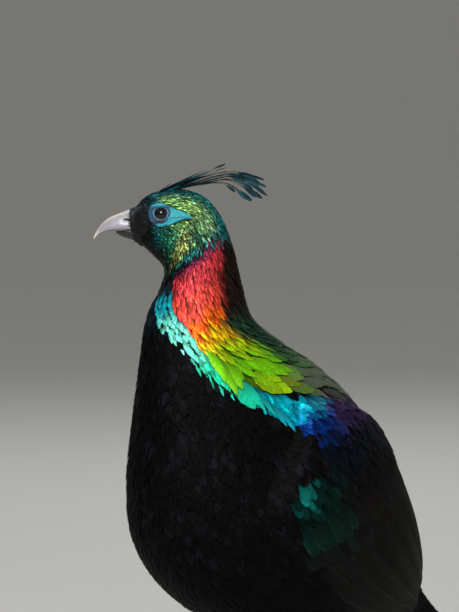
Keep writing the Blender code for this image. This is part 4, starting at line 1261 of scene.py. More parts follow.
class MONAL_OT_crest(bpy.types.Operator):
    """Raises the crest: wire-like shafts that open into spoons"""

    bl_idname = "monal.crest"
    bl_label = "Crest"

    STEPS, SHAFT = 80, 0.0006

    # Guide lines in the head's own side view, from the crown to the spoon's tip
    GUIDES = (
        ((-0.0473, 0.4972), (-0.0362, 0.5030), (-0.0215, 0.5096), (-0.0043, 0.5172), (0.0154, 0.5270)),
        ((-0.0462, 0.4965), (-0.0300, 0.5028), (-0.0080, 0.5108), (0.0232, 0.5182), (0.0550, 0.5083)),
        ((-0.0400, 0.4980), (-0.0240, 0.5035), (-0.0010, 0.5085), (0.0266, 0.5122), (0.0559, 0.4954)),
        ((-0.0344, 0.5008), (-0.0190, 0.5048), (-0.0018, 0.5083), (0.0172, 0.5083), (0.0352, 0.4945)),
    )

    def execute(self, context):
        rng = draws("crest")
        forms = []
        for _ in range(2):
            guide = 0.15 * rng.random()
            forms.append(self.feather(rng, guide, rng.uniform(-0.6, 0.6), 1, SPOON, 0.0036))
        # First and last guide, number of spoons between them, least share of the length, and width
        for first, last, number, least, wide in ((0.75, 2.2, 19, 0.80, 0.0043), (2.4, 3, 7, 0.86, 0.0040)):
            for guide in np.linspace(first, last, number):
                share = rng.uniform(-1, 1)
                forms.append(self.feather(rng, guide, share, rng.uniform(least, 1), SPOON, wide))
        for reach in np.linspace(0.38, 0.82, 34):
            guide = 1.3 * (1 - reach) * rng.random()
            forms.append(self.feather(rng, guide, rng.uniform(-1, 1), reach, LANCE, 0.0019))
        coat_pieces("crest_feathers", forms, plumage_material("crest_coat", 0.3, 0.4))
        return {"FINISHED"}

    def feather(self, rng, guide, share, part, pattern, wide):
        """One crest feather between two guide lines, with share setting how far it leans to the left."""
        i = min(int(guide), len(self.GUIDES) - 2)
        first, second = np.array(self.GUIDES[i]), np.array(self.GUIDES[i + 1])
        line = curve(first + (second - first) * (guide - i), np.linspace(0, 4 * part, self.STEPS))
        line = line + np.linspace(0, 1, self.STEPS)[:, None] ** 2 * rng.normal(0, 0.0011, 2)
        run = run_along(line)
        lean = np.arctan2(np.gradient(line[:, 1]), np.gradient(line[:, 0]))
        wide = wide * rng.uniform(0.8, 1.15)
        x, y, z = blades(pattern, run[-1], wide, self.SHAFT, 0.05, 0, 0)
        along, height, angle = (np.interp(x[0], run, values) for values in (line[:, 0], line[:, 1], lean))
        twist = rng.normal(0, 0.35) + 0.8 + 0.4 * share
        over = y[0] * math.sin(twist) + z[0] * math.cos(twist)
        side = y[0] * math.cos(twist) - z[0] * math.sin(twist)
        spread = 0.0035 + 0.0015 * np.minimum(x[0] / 0.02, 1) + 0.16 * np.maximum(x[0] - 0.02, 0)
        left = share * spread + side
        points = turned(along - np.sin(angle) * over, left, height + np.cos(angle) * over)
        a = pattern.along
        paint = tints("crest_shaft", len(a))
        if pattern is SPOON:
            paint = mix(paint, tint("crest_spoon"), grow(a, 0.82, 0.05))
        else:
            paint = mix(paint, tint("crown"), ease(a / 0.5) * rng.random())
            paint = paint * rng.uniform(0.2, 1.3)
        paint = paint * (1 - 0.35 * pattern.edge[:, None] ** 2) * rng.uniform(0.5, 1.5)
        spot = np.array([[rng.uniform(0.05, 0.95), rng.uniform(0.05, 0.95)]])
        paint = np.clip(paint, 0, 1)
        return feather_set(pattern, points[None], paint[None], 0.45, spot, [run[-1]], [wide])


class MONAL_OT_neck_feathers(bpy.types.Operator):
    """Lays the glossy pointed feathers of the neck and mantle, and the mint fringe along the breast"""

    bl_idname = "monal.neck_feathers"
    bl_label = "Neck and mantle feathers"

    # Station and degrees of the root, length, width, height at the tip, share of mint, share of cyan
    PLUMES = (
        (8.20, 103, 0.031, 0.0170, 0.0016, 1, 0),
        (8.26, 98.5, 0.028, 0.0120, 0.0014, 1, 0.12),
        (8.52, 97, 0.025, 0.0052, 0.0014, 1, 0.4),
        (8.66, 93.5, 0.026, 0.0050, 0.0013, 1, 0.6),
        (8.98, 89.5, 0.024, 0.0056, 0.0012, 1, 0.9),
        (9.14, 87, 0.024, 0.0052, 0.0011, 1, 1),
        (7.30, 107.5, 0.034, 0.0090, 0.0026, 0, 0),
        (7.42, 109, 0.032, 0.0070, 0.0020, 0, 0),
        (7.55, 104, 0.035, 0.0100, 0.0030, 0, 0),
        (7.70, 100.5, 0.031, 0.0100, 0.0034, 0, 0),
        (7.76, 104.5, 0.032, 0.0085, 0.0036, 0, 0),
    )

    def execute(self, context):
        material = plumage_material("neck_coat", 0.32, 0.5)
        sets = self.neck(context)
        for side in (1, -1):
            sets += self.fringe(side)
            sets.append(self.shoulder_plumes(side))
        coat_pieces("neck_feathers", sets, material)
        return {"FINISHED"}

    def neck(self, context):
        """Lance-shaped feathers that grow longer towards the mantle."""
        gap_here = context.scene.monal_sizes.neck_gap
        rng = draws("neck")

        def spacing(t, v):
            return gap_here * (0.6 + 0.3 * grow(t, 4.3, 2.6) + 2 * grow(t, 7.1, 1.5))

        t, v = scatter(rng, 4.28, 9.75, spacing)
        gap = spacing(t, v)
        count = len(t)
        large = grow(t, 7.1, 1.4)
        long = gap * (rng.uniform(4.6, 5.6, count) - 1.9 * large)
        wide = gap * (rng.uniform(1.2, 1.6, count) + 0.3 * large)
        yaw = mantle_lean(t, v) + rng.normal(0, 0.1, count)
        tip, tip_v = reach_of(t, v, long, yaw)
        inside = tip < np.interp(down_side(tip_v), *MANTLE_EDGE) + rng.normal(0, 0.05, count)
        inside &= down_side(tip_v) < np.interp(tip, *INNER_EDGE) + 1 - 8 * (tip > 8.3)
        t, v, long, wide, yaw = only(inside, t, v, long, wide, yaw)
        count = len(t)
        seen, seen_v = reach_of(t, v, long * 0.8, yaw)
        paint, sheen = coat_paint(seen + rng.normal(0, 0.1, count), seen_v + rng.normal(0, 0.03, count))
        paint = speckle(rng, paint, 0.26 - 0.16 * grow(t, 6.8, 0.8))
        high = rng.uniform(0, 0.00035, count)
        points = lay_on_body(t, v, *blades(HACKLE, long, wide, VANE, 0.06, -0.9 * coat_depth(t), high,
                                           yaw, rng.normal(0, 0.06, count)))
        soft = grow(t, 6.8, 1)
        whole = shade(HACKLE, paint, 0.5 + 0.34 * soft, 1.15 - 0.08 * soft, 0.12 - 0.08 * soft)
        return feather_parts(HACKLE, 3, points, whole, sheen, unwrap(t, v, *NECK_STRETCH), long, wide)

    def fringe(self, side):
        """Rows of mint feathers between the coloured neck and the black breast."""
        rng = draws("fringe")
        sets = []
        # Share of the way out from the neck, and number of feathers in the lower half of the fringe
        for rank, (part, number) in enumerate(((0.04, 20), (0.34, 0), (0.64, 20), (0.94, 9))):
            tip = np.concatenate([np.linspace(5, 7.1, 30), np.linspace(7.12, 8.62, number)])
            tip = tip + rng.normal(0, 0.025, tip.size) + 0.02 * rank
            size = grow(tip, 5.2, 3.2)
            last = grow(tip, 7, 0.3) * (rank == 3)
            inner, outer = np.interp(tip, *INNER_EDGE), np.interp(tip, *FRINGE)
            w = inner + (outer - inner) * part + 2 * last - 1.5 * (1 - last) + rng.normal(0, 0.5, tip.size)
            count = len(tip)
            v = angle_down(side, w)
            long = (0.009 + 0.008 * size + 0.002 * last) * rng.uniform(0.85, 1.15, count)
            wide = (0.004 + 0.0014 * size - 0.0018 * last) * rng.uniform(0.9, 1.2, count)
            t = walk(tip, v, -long)
            paint = speckle(rng, ramp(MINT, tip + rng.normal(0, 0.1, count)), 0.22)
            high = 0.0007 + 0.0003 * (3 - rank)
            yaw, bend = rng.normal(0, 0.07, count), rng.normal(0, 0.05, count)
            points = lay_on_body(t, v, *blades(HACKLE, long, wide, VANE, 0.1, -0.002, high, yaw, bend))
            whole = shade(HACKLE, paint, 0.3, 1.05, 0.2)
            sets.append(feather_set(HACKLE, points, whole, 0.4, unwrap(t, v, *NECK_STRETCH), long, wide))
        return sets

    def shoulder_plumes(self, side):
        """The largest mint feathers, the narrow bluer ones behind them, and the green ones before them."""
        rng = draws("plumes")
        t, w, long, wide, high, mint, blue = np.array(self.PLUMES).T
        v = angle_down(side, w)
        count = len(t)
        paint = mix(mix(tints("leaf", count), tint("mint"), mint), tint("cyan"), blue)
        paint = speckle(rng, paint, 0.1)
        yaw, bend = -side * 0.13 * mint + rng.normal(0, 0.04, count), rng.normal(0, 0.03, count)
        points = lay_on_body(t, v, *blades(HACKLE, long, wide, THICK_VANE, 0.08, -0.001, high, yaw, bend))
        whole = shade(HACKLE, paint, 0.6, 1.05, 0.1)
        return feather_set(HACKLE, points, whole, 0.45, unwrap(t, v, *NECK_STRETCH), long, wide)


class MONAL_OT_body_feathers(bpy.types.Operator):
    """Lays the feathers of breast, belly, flanks, back, rump and thighs, with soft, frayed tips"""

    bl_idname = "monal.body_feathers"
    bl_label = "Body feathers"

    THIGH_FEATHERS = 620

    def execute(self, context):
        gap_here = context.scene.monal_sizes.body_gap
        rng = draws("body")

        def spacing(t, v):
            return gap_here * (0.62 + 0.38 * grow(t, 5, 4))

        t, v = scatter(rng, 4.4, 17.4, spacing)
        gap = spacing(t, v)
        count = len(t)
        long = gap * rng.uniform(3.8, 5.2, count)
        wide = gap * rng.uniform(1.7, 2.3, count)
        tip = walk(t, v, long)
        w = down_side(v)
        s, q = wing_share(tip, v)
        root_s, root_q = wing_share(t, v)
        mantle = np.interp(w, *MANTLE_EDGE)
        glossy = (w < np.interp(tip, *INNER_EDGE) - 1) & (tip < mantle + 0.05)
        before = (w > 24) & (tip > mantle) & (tip < 10.9)
        over = (s > -0.02) & (q > 0.05) & (q < 1.03) & (tip > 10) & (s < wing_end(q))
        under = (root_s > 0.05) & (root_q > 0.1) & (root_q < 0.94) & (root_s < wing_end(root_q) - 0.08)
        on_wing = (before | over) & (w < np.interp(tip, *FRINGE)) | under & (w < np.interp(t, *FRINGE))
        t, v, long, wide = only(~(glossy | on_wing), t, v, long, wide)
        count = len(t)
        seen = walk(t, v, long * 0.8) + rng.normal(0, 0.1, count)
        paint, sheen = coat_paint(seen, v + rng.normal(0, 0.03, count))
        front = (down_side(v) > np.interp(seen, *INNER_EDGE) - 3) & (seen < 10.4)
        paint = np.where(front[:, None], ramp(FRONT, seen), paint)
        sheen = np.where(front, 0.1, sheen)
        paint = speckle(rng, paint, 0.25)
        black = paint.max(1) < BLACK_LIMIT
        grey = rng.random(count) * (rng.random(count) < 0.25) * fade(t, 13, 3)
        paint = mix(paint, tint("breast_tip"), 0.4 * grey * black)
        spot = unwrap(t, v, *BODY_STRETCH)
        sets = []
        # Each feather has two side plumes and a middle one: turn, shares of length and width, height
        for turn, share, thin, over in ((-0.26, 0.86, 0.42, 0.0001), (0.24, 0.90, 0.42, 0.0002),
                                        (0, 1, 1, 0)):
            yaw = rng.normal(0, 0.09, count) + turn
            high = rng.uniform(-0.0002, 0.0006, count) + over
            bend = rng.normal(0, 0.07, count) - turn * 0.5
            points = lay_on_body(t, v, *blades(PLUME, long * share, wide * thin, VANE, 0.06,
                                               -0.9 * coat_depth(t), high, yaw, bend))
            whole = shade(PLUME, paint, 0.5, 1.1, 0.15)
            sets += feather_parts(PLUME, 2, points, whole, sheen, spot, long, wide)
        sets += [self.thigh(side) for side in (1, -1)]
        coat_pieces("body_feathers", sets, plumage_material("body_coat", 0.3, 0.5, 0.06))
        return {"FINISHED"}

    def thigh(self, side):
        """Short soft feathers down the leg to the hock."""
        rng = draws("thigh")
        count = self.THIGH_FEATHERS
        share = rng.uniform(0.05, 0.93, count) ** 0.8
        turn = rng.uniform(0, CIRCLE, count)
        start, end = on_side(HIP, side), on_side(HOCK, side)
        reach = np.linalg.norm(end - start)
        long = np.interp(share, (0, 1), (0.02, 0.01)) * rng.uniform(0.85, 1.15, count)
        wide = long * 0.34
        x, y, z = blades(PLUME, long, wide, VANE, 0.1, -0.0018, rng.uniform(0.0003, 0.0014, count),
                         rng.normal(0, 0.1, count), rng.normal(0, 0.06, count))
        at = np.clip(share[:, None] + x / reach, 0, 1.03)
        radius = radius_at(THIGH_RADII, np.clip(at, 0, 1))
        _, first, second = round_limb(start, end)
        angle = turn[:, None] + y / radius
        out = np.cos(angle)[..., None] * first + np.sin(angle)[..., None] * second
        points = start + (end - start) * at[..., None] + out * (radius + z)[..., None]
        paint = speckle(rng, tints("breast", count), 0.3)
        spot = np.stack([0.02 + 0.2 * share, 0.4 + 0.2 * turn / 7], -1)
        return feather_set(PLUME, points, shade(PLUME, paint, 0.4, 1.1, 0.2), 0.05, spot, long, wide)


class MONAL_OT_wings(bpy.types.Operator):
    """Lays the folded wings: small coverts in tiers over the long flight feathers"""

    bl_idname = "monal.wings"
    bl_label = "Wings"

    # Number of flight feathers, and the width of each in pitches
    QUILLS, QUILL_PITCHES = 22, 2.7

    def execute(self, context):
        material = plumage_material("wing_coat", 0.34, 0.5, 0.07)
        for side, name in SIDES:
            rng = draws("wing")
            sets = [self.quills(rng, side)]
            # s of the first and last row of roots, rows, feathers in a row, length, width in pitches, depth
            tiers = ((0.345, 0.345, 1, 24, 0.058, 2, 0.0030), (0.250, 0.300, 2, 27, 0.040, 2, 0.0027))
            sets += [self.coverts(rng, side, *tier) for tier in tiers]
            sets.append(self.shoulder(side))
            coat_pieces("wing_feathers_" + name, sets, material, ("wing_" + name,))
        return {"FINISHED"}

    def shoulder(self, side):
        """The small coverts over the front of the wing."""
        rng = draws("shoulder")

        def spacing(t, v):
            return 0.0033 + 0.0014 * grow(t, 9.2, 1.4)

        t, v = scatter(rng, 8.3, 11.1, spacing)
        t, v = only(face_side(v) == side, t, v)
        gap = spacing(t, v)
        count = len(t)
        long = gap * rng.uniform(3.8, 5, count)
        wide = gap * rng.uniform(1.5, 1.9, count)
        yaw = -side * 0.12 + rng.normal(0, 0.08, count)
        tip, tip_v = reach_of(t, v, long, yaw)
        w = down_side(tip_v)
        edge = np.interp(tip, *FRINGE) + 2 - 4 * grow(tip, 10.3, 0.4)
        keep = (tip > np.interp(w, *MANTLE_EDGE) + 0.03) & (w < edge) & (w > 21)
        t, v, long, wide, yaw, tip, w = only(keep, t, v, long, wide, yaw, tip, w)
        count = len(t)
        paint, sheen = wing_paint(tip + rng.normal(0, 0.07, count), w + rng.normal(0, 2.5, count))
        paint = speckle(rng, self.glints(rng, paint, tip, w), 0.26)
        high = rng.uniform(-0.0003, 0.0004, count) - 0.0004 * (tip < 9.3)
        points = lay_on_body(t, v, *blades(LESSER, long, wide, VANE, 0.07, -0.0028, high, yaw,
                                           rng.normal(0, 0.05, count)))
        spot = np.stack([0.02 + 0.9 * (t - 8) / 9, 0.02 + 0.9 * w / 120], -1)
        return feather_set(LESSER, points, shade(LESSER, paint, 0.4, 1.1, 0.2), sheen, spot, long, wide)

    def glints(self, rng, paint, t, w):
        """Turquoise on some of the lower coverts behind the breast's edge."""
        share = grow(w, 86, 10) * grow(t, 10.6, 0.12) * fade(t, 11.45, 0.45)
        return mix(paint, tint("turquoise"), 0.65 * ease(share * rng.uniform(0.1, 1, len(t))))

    def station(self, s, q):
        """The station, the degrees from the back and the width in radians of a place on the wing."""
        upper, lower = wing_edges(s)
        return WING_START + WING_SPAN * s, upper + (lower - upper) * q, np.radians(lower - upper)

    def place(self, side, s, q, x, y, z):
        """Bends blades over the wing. q counts down the side, so its sign turns with the side."""
        t, w, _ = self.station(s, q)
        return lay_on_body(t, angle_down(side, w), x, y, z)

    def coverts(self, rng, side, first, last, rows, number, long, pitches, depth):
        """Rows of coverts, each row set between the feathers of the row in front."""
        row, place = np.meshgrid(np.arange(rows), np.arange(number), indexing="ij")
        row, place = row.ravel(), place.ravel()
        s = first + (last - first) * row / max(rows - 1, 1)
        q = 0.03 + 0.95 * (place + 0.5 * (row % 2)) / (number - 0.5)
        count = len(s)
        s, q = s + rng.normal(0, 0.003, count), q + rng.normal(0, 0.006, count)
        long = long * rng.uniform(0.9, 1.1, count)
        t, w, width = self.station(s, q)
        wide = width * read(GIRTH, t, np.radians(w)) / number * pitches
        tip = walk(t, angle_down(side, w), long * 0.85)
        seen = w <= np.interp(tip, *FRINGE) + 1 + 40 * grow(tip, 12.6, 0.4)
        paint, sheen = wing_paint(tip + rng.normal(0, 0.08, count), w + rng.normal(0, 2, count))
        paint = speckle(rng, self.glints(rng, paint, tip, w), 0.24)
        s, q, long, wide, paint, sheen = only(seen, s, q, long, wide, paint, sheen)
        count = len(s)
        high = rng.uniform(-0.0002, 0.0004, count)
        yaw, bend = rng.normal(0, 0.05, count), rng.normal(0, 0.04, count)
        laid = blades(COVERT, long, wide, THICK_VANE, 0.06, -depth, high, yaw, bend)
        points = self.place(side, s, q, *laid)
        whole = shade(COVERT, paint, 0.5, 1.1, -1.3)
        spot = np.stack([0.02 + 0.9 * np.clip(s, 0, 1), 0.02 + 0.9 * np.clip(q, 0, 1)], -1)
        return feather_set(COVERT, points, whole, sheen, spot, long, wide)

    def quills(self, rng, side):
        """The long flight feathers, the upper ones over the lower ones."""
        count = self.QUILLS
        share = np.linspace(0, 1, count)
        q = 0.04 + 0.9 * share
        s = 0.36 + 0.06 * share
        reach = wing_end(q) - 0.035 * rng.random(count) - s
        t, w, width = self.station(s, q)
        v = np.radians(w)
        long = read(REACH, t + WING_SPAN * reach, v) - read(REACH, t, v)
        wide = width * read(GIRTH, t, v) / count * self.QUILL_PITCHES
        high = 0.0008 - 0.0012 * share + 0.001 * rng.random(count)
        x, y, z = blades(QUILL, long, wide, STIFF_VANE, 0.05, -0.0016, high)
        z = z + 0.0011 * (0.5 - side * QUILL.across[None, :])
        points = self.place(side, s, q, x, y, z)
        paint = mix(tints("wing_dark", count), tint("teal"), 0.08 * rng.random(count))
        paint = speckle(rng, paint, 0.18)
        whole = shade(QUILL, paint, 0.4, 0.8, -10)
        # A painted highlight along each shaft, three times as bright as the vane
        rachis = (QUILL.edge < 0.3)[None, :, None]
        whole = np.where(rachis, whole * 3, whole)
        spot = np.stack([0.95 + 0 * share, 0.05 + 0.9 * share], -1)
        return feather_set(QUILL, points, whole, 0.1, spot, long, wide)


class MONAL_OT_tail(bpy.types.Operator):
    """Lays the tail: eighteen long rufous feathers, with coverts over and under their bases"""

    bl_idname = "monal.tail"
    bl_label = "Tail"

    LONG_WIDTH = 0.026

    def execute(self, context):
        rng = draws("tail")
        sets = [self.long_feathers(rng)]
        # Number, start, length, degrees between, width, height of root and tip, colour names of root and tip
        tiers = ((15, -0.026, 0.062, 3.9, 0.015, 0.0136, 0.0102, "rump", "rump"),
                 (17, -0.020, 0.078, 3.5, 0.016, 0.0130, 0.0082, "rump", "tail_cover"),
                 (19, -0.012, 0.092, 3.1, 0.017, 0.0122, 0.0062, "tail_cover", "tail_cover"),
                 (19, -0.004, 0.106, 2.7, 0.018, 0.0110, 0.0040, "tail_cover", "moss"),
                 (15, -0.016, 0.094, 3.4, 0.018, -0.0225, -0.0190, "breast", "breast"),
                 (13, -0.036, 0.088, 3.9, 0.018, -0.0240, -0.0215, "breast", "breast"))
        sets += [self.coverts(rng, *tier) for tier in tiers]
        material = plumage_material("tail_coat", 0.22, 0.5)
        coat_pieces("tail_feathers", sets, material, ("tail",))
        return {"FINISHED"}

    def place(self, along, left, lift):
        """Points on the tail, which curves up a little towards its end."""
        drop = TAIL_DROP - 0.25 * along
        x = TAIL_ROOT[0] + STAND_SHIFT + np.cos(drop) * along + np.sin(drop) * lift
        z = TAIL_ROOT[1] - np.sin(drop) * along + np.cos(drop) * lift
        return np.stack([x, -left, z], -1)

    def fan(self, pattern, start, long, angle, wide, lift, slope, arch=0.05):
        """Blades that fan out from a point in front of the tail's root."""
        x, y, z = blades(pattern, long, wide, STIFF_VANE, arch, *lift)
        angle = angle[:, None]
        along = start + x * np.cos(angle) - y * np.sin(angle)
        left = (TAIL_FOCUS + x) * np.sin(angle) + y * np.cos(angle)
        return self.place(along, left, z - slope[:, None] * y)

    def long_feathers(self, rng):
        """The rectrices, the middle pair on top."""
        rank = np.repeat(np.arange(TAIL_PAIRS), 2)
        side = np.tile([1, -1], TAIL_PAIRS)
        share = (rank + 0.5) / TAIL_PAIRS
        long = TAIL_LENGTH * (1 - 0.13 * share ** 2)
        lift = -0.0017 * (rank + (side < 0) * 0.5)
        wide = np.full(len(rank), self.LONG_WIDTH)
        points = self.fan(QUILL, -0.006, long, side * TAIL_SPREAD * share, wide, (lift, lift + 0.0002),
                          side * 0.05, 0.03)
        a = np.minimum(QUILL.along, 1)
        line = mix(tints("rufous_dark", len(a)), tint("rufous"), grow(a, 0.1, 0.4))
        bars = 1 - 0.16 * ease(np.sin(a * 46) * 0.5 + 0.2) * (a < 0.93)
        line = line * bars[:, None] * (1 - 0.25 * QUILL.edge[:, None] ** 4)
        line = np.where((QUILL.edge < 0.3)[:, None], line * 0.6, line)
        whole = line[None] * rng.uniform(0.85, 1.12, len(rank))[:, None, None]
        spot = np.stack([0.1 + 0.8 * share, 0.5 + 0.3 * side], -1)
        return feather_set(QUILL, points, whole, 0, spot, long, wide)

    def coverts(self, rng, number, start, long, degrees, wide, root, tip, near, far):
        """One tier of tail coverts, the middle ones on top, or lowest under the tail."""
        over = 1.0 if root > 0 else -1.0
        place = np.arange(number) - (number - 1) / 2
        down = over * 0.00052 * (np.abs(place) + (place < 0) * 0.5)
        length_here = long * (1 - 0.02 * np.abs(place)) * rng.uniform(0.86, 1.08, number)
        wide = np.full(number, wide) * rng.uniform(0.9, 1.1, number)
        points = self.fan(COVERT, start, length_here, np.radians(degrees) * place, wide,
                          (root - down, tip - down), 0.014 * over * place)
        paint = mix(tints(near, number), tint(far), rng.random(number))
        whole = shade(COVERT, speckle(rng, paint, 0.2), 0.35, 1.1, 0.3)
        spot = np.stack([0.1 + 0.8 * rng.random(number), 0.05 + 0.05 * rng.random(number)], -1)
        return feather_set(COVERT, points, whole, 0.5 if over > 0 else 0.1, spot, length_here, wide)


class MONAL_OT_legs(bpy.types.Operator):
    """Makes the scaled shanks with their spurs, the toes and the claws"""

    bl_idname = "monal.legs"
    bl_label = "Legs"

    # Plates on the shank and the toes: height of one, and how far it stands out
    SHANK_PLATE, SHANK_EDGE, TOE_PLATE, TOE_EDGE = 0.0048, 0.0007, 0.0034, 0.09
    # Each toe's radius, and its shares from root to claw
    TOE_RADIUS, TOE_SHARES = 0.0046, (1.18, 0.96, 1.06, 0.9, 0.98, 0.8)
    SPUR_LENGTH = 0.0125

    def execute(self, context):
        scaly = painted_material("leg_surface", 0.5, 0.6, 620, cells=True)
        horn = painted_material("claw_surface", 0.38, 0.3, 500, coat=0.2)
        for side, name in SIDES:
            self.shank(side, name, scaly)
            self.foot(side, name, scaly, horn)
        return {"FINISHED"}

    def scuted(self, rings, pitch, size):
        """Raises cross plates on a limb's front, each with a sharp lower edge."""
        middle = rings.mean(1, keepdims=True)
        out = rings - middle
        radius = np.linalg.norm(out, axis=-1, keepdims=True)
        run = run_along(middle[:, 0])
        saw = np.mod(run / pitch, 1)
        front = np.clip(-out[..., 0:1] / np.maximum(radius, 1e-6), 0, 1) ** 0.5
        return middle + out * (1 + size * (saw[:, None, None] - 0.5) * front / np.maximum(radius, 1e-6))

    def shank(self, side, name, material):
        """The scaled shank with its knobbly upper joint and its spur."""
        hock, foot = on_side(HOCK, side), on_side(FOOT, side)
        rings = self.scuted(limb(hock, foot, SHANK_RADII[1:], 90, 24), self.SHANK_PLATE, self.SHANK_EDGE)
        knee = limb(hock + (hock - foot) * 0.1, hock + (foot - hock) * 0.12,
                    (0.0050, 0.0076, 0.0078, 0.0066), 16, 24)
        way = np.array((0.8, -side * 0.35, 0.25))
        way /= np.linalg.norm(way)
        root = hock + (foot - hock) * 0.72
        spur = limb(root, root + way * self.SPUR_LENGTH, (0.0026, 0.0021, 0.0015, 0.0004), 14, 16)
        forms = [(*closed_form(rings), tint("leg")), (*closed_form(knee), tint("leg") * 0.8),
                 (*closed_form(spur), tint("horn_dark"))]
        form_piece("shank_scales_" + name, forms, material, ("shank_" + name,))

    def foot(self, side, name, scaly, horn):
        """Three toes forward and one back, each flat below, with plates above and a curved claw."""
        foot = on_side(FOOT, side)
        forms, claws = [], []
        pad = limb(foot, (foot[0] - 0.001, foot[1], 0.0012), (0.0062, 0.008, 0.0084, 0.0068), 14, 24)
        forms.append((*closed_form(pad), tint("leg")))
        for degrees, long in TOES:
            angle = math.radians(degrees) * side
            way = np.array((-math.cos(angle), math.sin(angle), 0))
            share = np.linspace(0, 1, 56)
            radius = radius_at(self.TOE_SHARES, share) * self.TOE_RADIUS
            saw = np.mod(share * long / self.TOE_PLATE, 1)
            turn = CIRCLE * np.arange(20)[None, :] / 20
            out = radius[:, None] * (1 + self.TOE_EDGE * (saw[:, None] - 0.5) * np.clip(np.sin(turn), 0, 1))
            high = np.maximum(out * np.sin(turn), -radius[:, None] * 0.86) + radius[:, None] * 0.9
            across = np.array((way[1], -way[0], 0))
            base = np.array((foot[0], foot[1], 0)) + way * (share * long)[:, None]
            rings = base[:, None, :] + across * (out * np.cos(turn))[..., None] + UP * high[..., None]
            forms.append((*closed_form(rings), tint("leg") * (0.92 + 0.08 * math.cos(angle * 3))))
            claws.append((*closed_form(self.claw(base[-1], way, across, radius[-1])), tint("horn_dark")))
        form_piece("foot_scales_" + name, forms, scaly, ("foot_" + name,))
        form_piece("claws_" + name, claws, horn)

    def claw(self, tip, way, across, radius):
        """A claw that grows out of the toe's end and curves down to the floor."""
        share = np.linspace(0, 1, 22)[:, None]
        turn = CIRCLE * np.arange(14)[None, :] / 14
        thick = 0.0026 * (1 - share) ** 0.7 + 0.0003
        centre = tip - way * 0.003 + way * share * (CLAW_LENGTH + 0.003)
        high = radius + 0.0008 * np.sin(share * np.pi) - (radius - 0.0012) * share ** 2
        up = np.maximum(high + thick * np.sin(turn), 0.0003)
        return centre[:, None, :] + across * (0.8 * thick * np.cos(turn))[..., None] + UP * up[..., None]


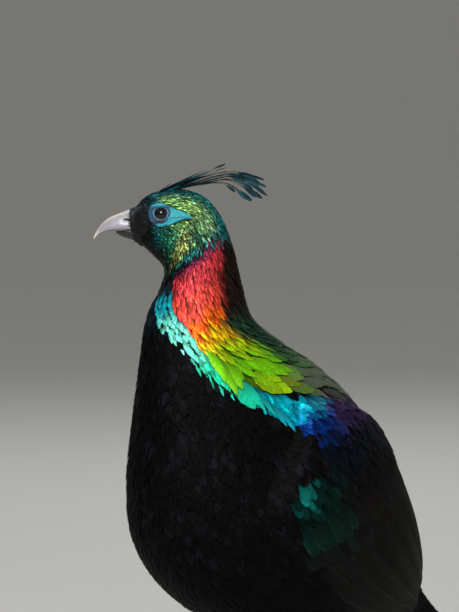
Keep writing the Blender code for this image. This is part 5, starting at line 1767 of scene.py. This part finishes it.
class MONAL_OT_stage(bpy.types.Operator):
    """Sets up the pale floor, the soft studio lights and the camera"""

    bl_idname = "monal.stage"
    bl_label = "Stage"

    def execute(self, context):
        self.floor()
        self.lights(context)
        self.camera(context)
        return {"FINISHED"}

    def floor(self):
        """A floor that bends up into a wall far from the bird."""
        rows, columns = 49, 96
        line = ((0.01, 0), (3, 0), (6, 0), (8, 0.15), (10, 0.8), (11.6, 2.2), (12.4, 4.6),
                (12.6, 8), (12.6, 13))
        profile = curve(line, np.linspace(0, len(line) - 1, rows))
        ring = ring_of(columns)
        reach, high = profile[:, :1], profile[:, 1:]
        points = np.stack([reach * np.cos(ring), reach * np.sin(ring), high * np.ones(columns)], -1)
        mesh = new_mesh("floor", points.reshape(-1, 3), [grid_faces(rows, columns)])
        mesh.shade_smooth()
        made = put("floor", mesh)
        material, tree, shader = new_material("floor")
        noise = add_node(tree, "TexNoise", {"Scale": 6.0})
        tone = add_node(tree, "MapRange", {"Value": noise.outputs[0], "To Min": 0.97, "To Max": 1.03})
        shade_of = add_node(tree, "VectorMath", {0: tint("floor"), "Scale": tone.outputs[0]},
                            operation="SCALE")
        set_inputs(tree, shader, {"Base Color": shade_of.outputs[0], "Roughness": 0.8})
        mesh.materials.append(material)

    def lights(self, context):
        """A pale sky and three soft lamps."""
        world = context.scene.world or bpy.data.worlds.new("studio")
        context.scene.world = world
        world.use_nodes = True
        backdrop = world.node_tree.nodes["Background"]
        backdrop.inputs["Color"].default_value = (*shown(*SKY_COLOUR), 1)
        backdrop.inputs["Strength"].default_value = SKY
        # Name, place, size and power
        for name, place, size, power in (("key", (-1.9, -1.5, 2.2), 1, 70),
                                         ("fill", (1.3, -2.4, 1.2), 1.8, 7),
                                         ("rim", (1.4, 1.9, 2.1), 1, 18)):
            data = bpy.data.lights.new(name, "AREA")
            data.size = size
            data.energy = power
            made = put(name, data)
            made.location = place
            made.rotation_euler = (Vector(LIT_POINT) - made.location).to_track_quat("-Z", "Y").to_euler()

    def camera(self, context):
        """The photograph's view of the bird."""
        sizes = context.scene.monal_sizes
        back = Vector((math.sin(VIEW_TURN) * math.cos(VIEW_TILT), -math.cos(VIEW_TURN) * math.cos(VIEW_TILT),
                       math.sin(VIEW_TILT)))
        right = Vector((math.cos(VIEW_TURN), math.sin(VIEW_TURN), 0))
        target = Vector((STAND_SHIFT, 0, VIEW_HEIGHT)) + right * VIEW_RIGHT
        data = bpy.data.cameras.new("camera")
        data.sensor_width = SENSOR_WIDTH
        data.lens = SENSOR_WIDTH * sizes.view_distance / sizes.view_height
        data.clip_start, data.clip_end = 0.1, 200.0
        made = put("camera", data)
        made.location = target + back * sizes.view_distance
        made.rotation_euler = (-back).to_track_quat("-Z", "Y").to_euler()
        context.scene.camera = made
        context.scene.view_settings.view_transform = "Standard"


OPERATORS = (MONAL_OT_skin, MONAL_OT_eyes, MONAL_OT_bill, MONAL_OT_head_feathers, MONAL_OT_crest,
             MONAL_OT_neck_feathers, MONAL_OT_body_feathers, MONAL_OT_wings, MONAL_OT_tail, MONAL_OT_legs,
             MONAL_OT_stage)


class MONAL_PT_panel(bpy.types.Panel):
    """Lists the bird's pieces, sizes and colours"""

    bl_idname = "MONAL_PT_panel"
    bl_label = "Himalayan Monal"
    bl_space_type = "VIEW_3D"
    bl_region_type = "UI"
    bl_category = "Monal"

    def draw(self, context):
        for operator in OPERATORS:
            self.layout.operator(operator.bl_idname)
        for group in (context.scene.monal_sizes, context.scene.monal_colours):
            for name in group.bl_rna.properties.keys():
                if name not in ("rna_type", "name"):
                    self.layout.prop(group, name)


CLASSES = (MonalColours, MonalSizes, *OPERATORS, MONAL_PT_panel)


def register():
    for made in CLASSES:
        bpy.utils.register_class(made)
    bpy.types.Scene.monal_colours = bpy.props.PointerProperty(type=MonalColours)
    bpy.types.Scene.monal_sizes = bpy.props.PointerProperty(type=MonalSizes)


def unregister():
    del bpy.types.Scene.monal_sizes
    del bpy.types.Scene.monal_colours
    for made in reversed(CLASSES):
        bpy.utils.unregister_class(made)


def main():
    register()
    for operator in OPERATORS:
        group, name = operator.bl_idname.split(".")
        getattr(getattr(bpy.ops, group), name)()


if __name__ == "__main__":
    main()
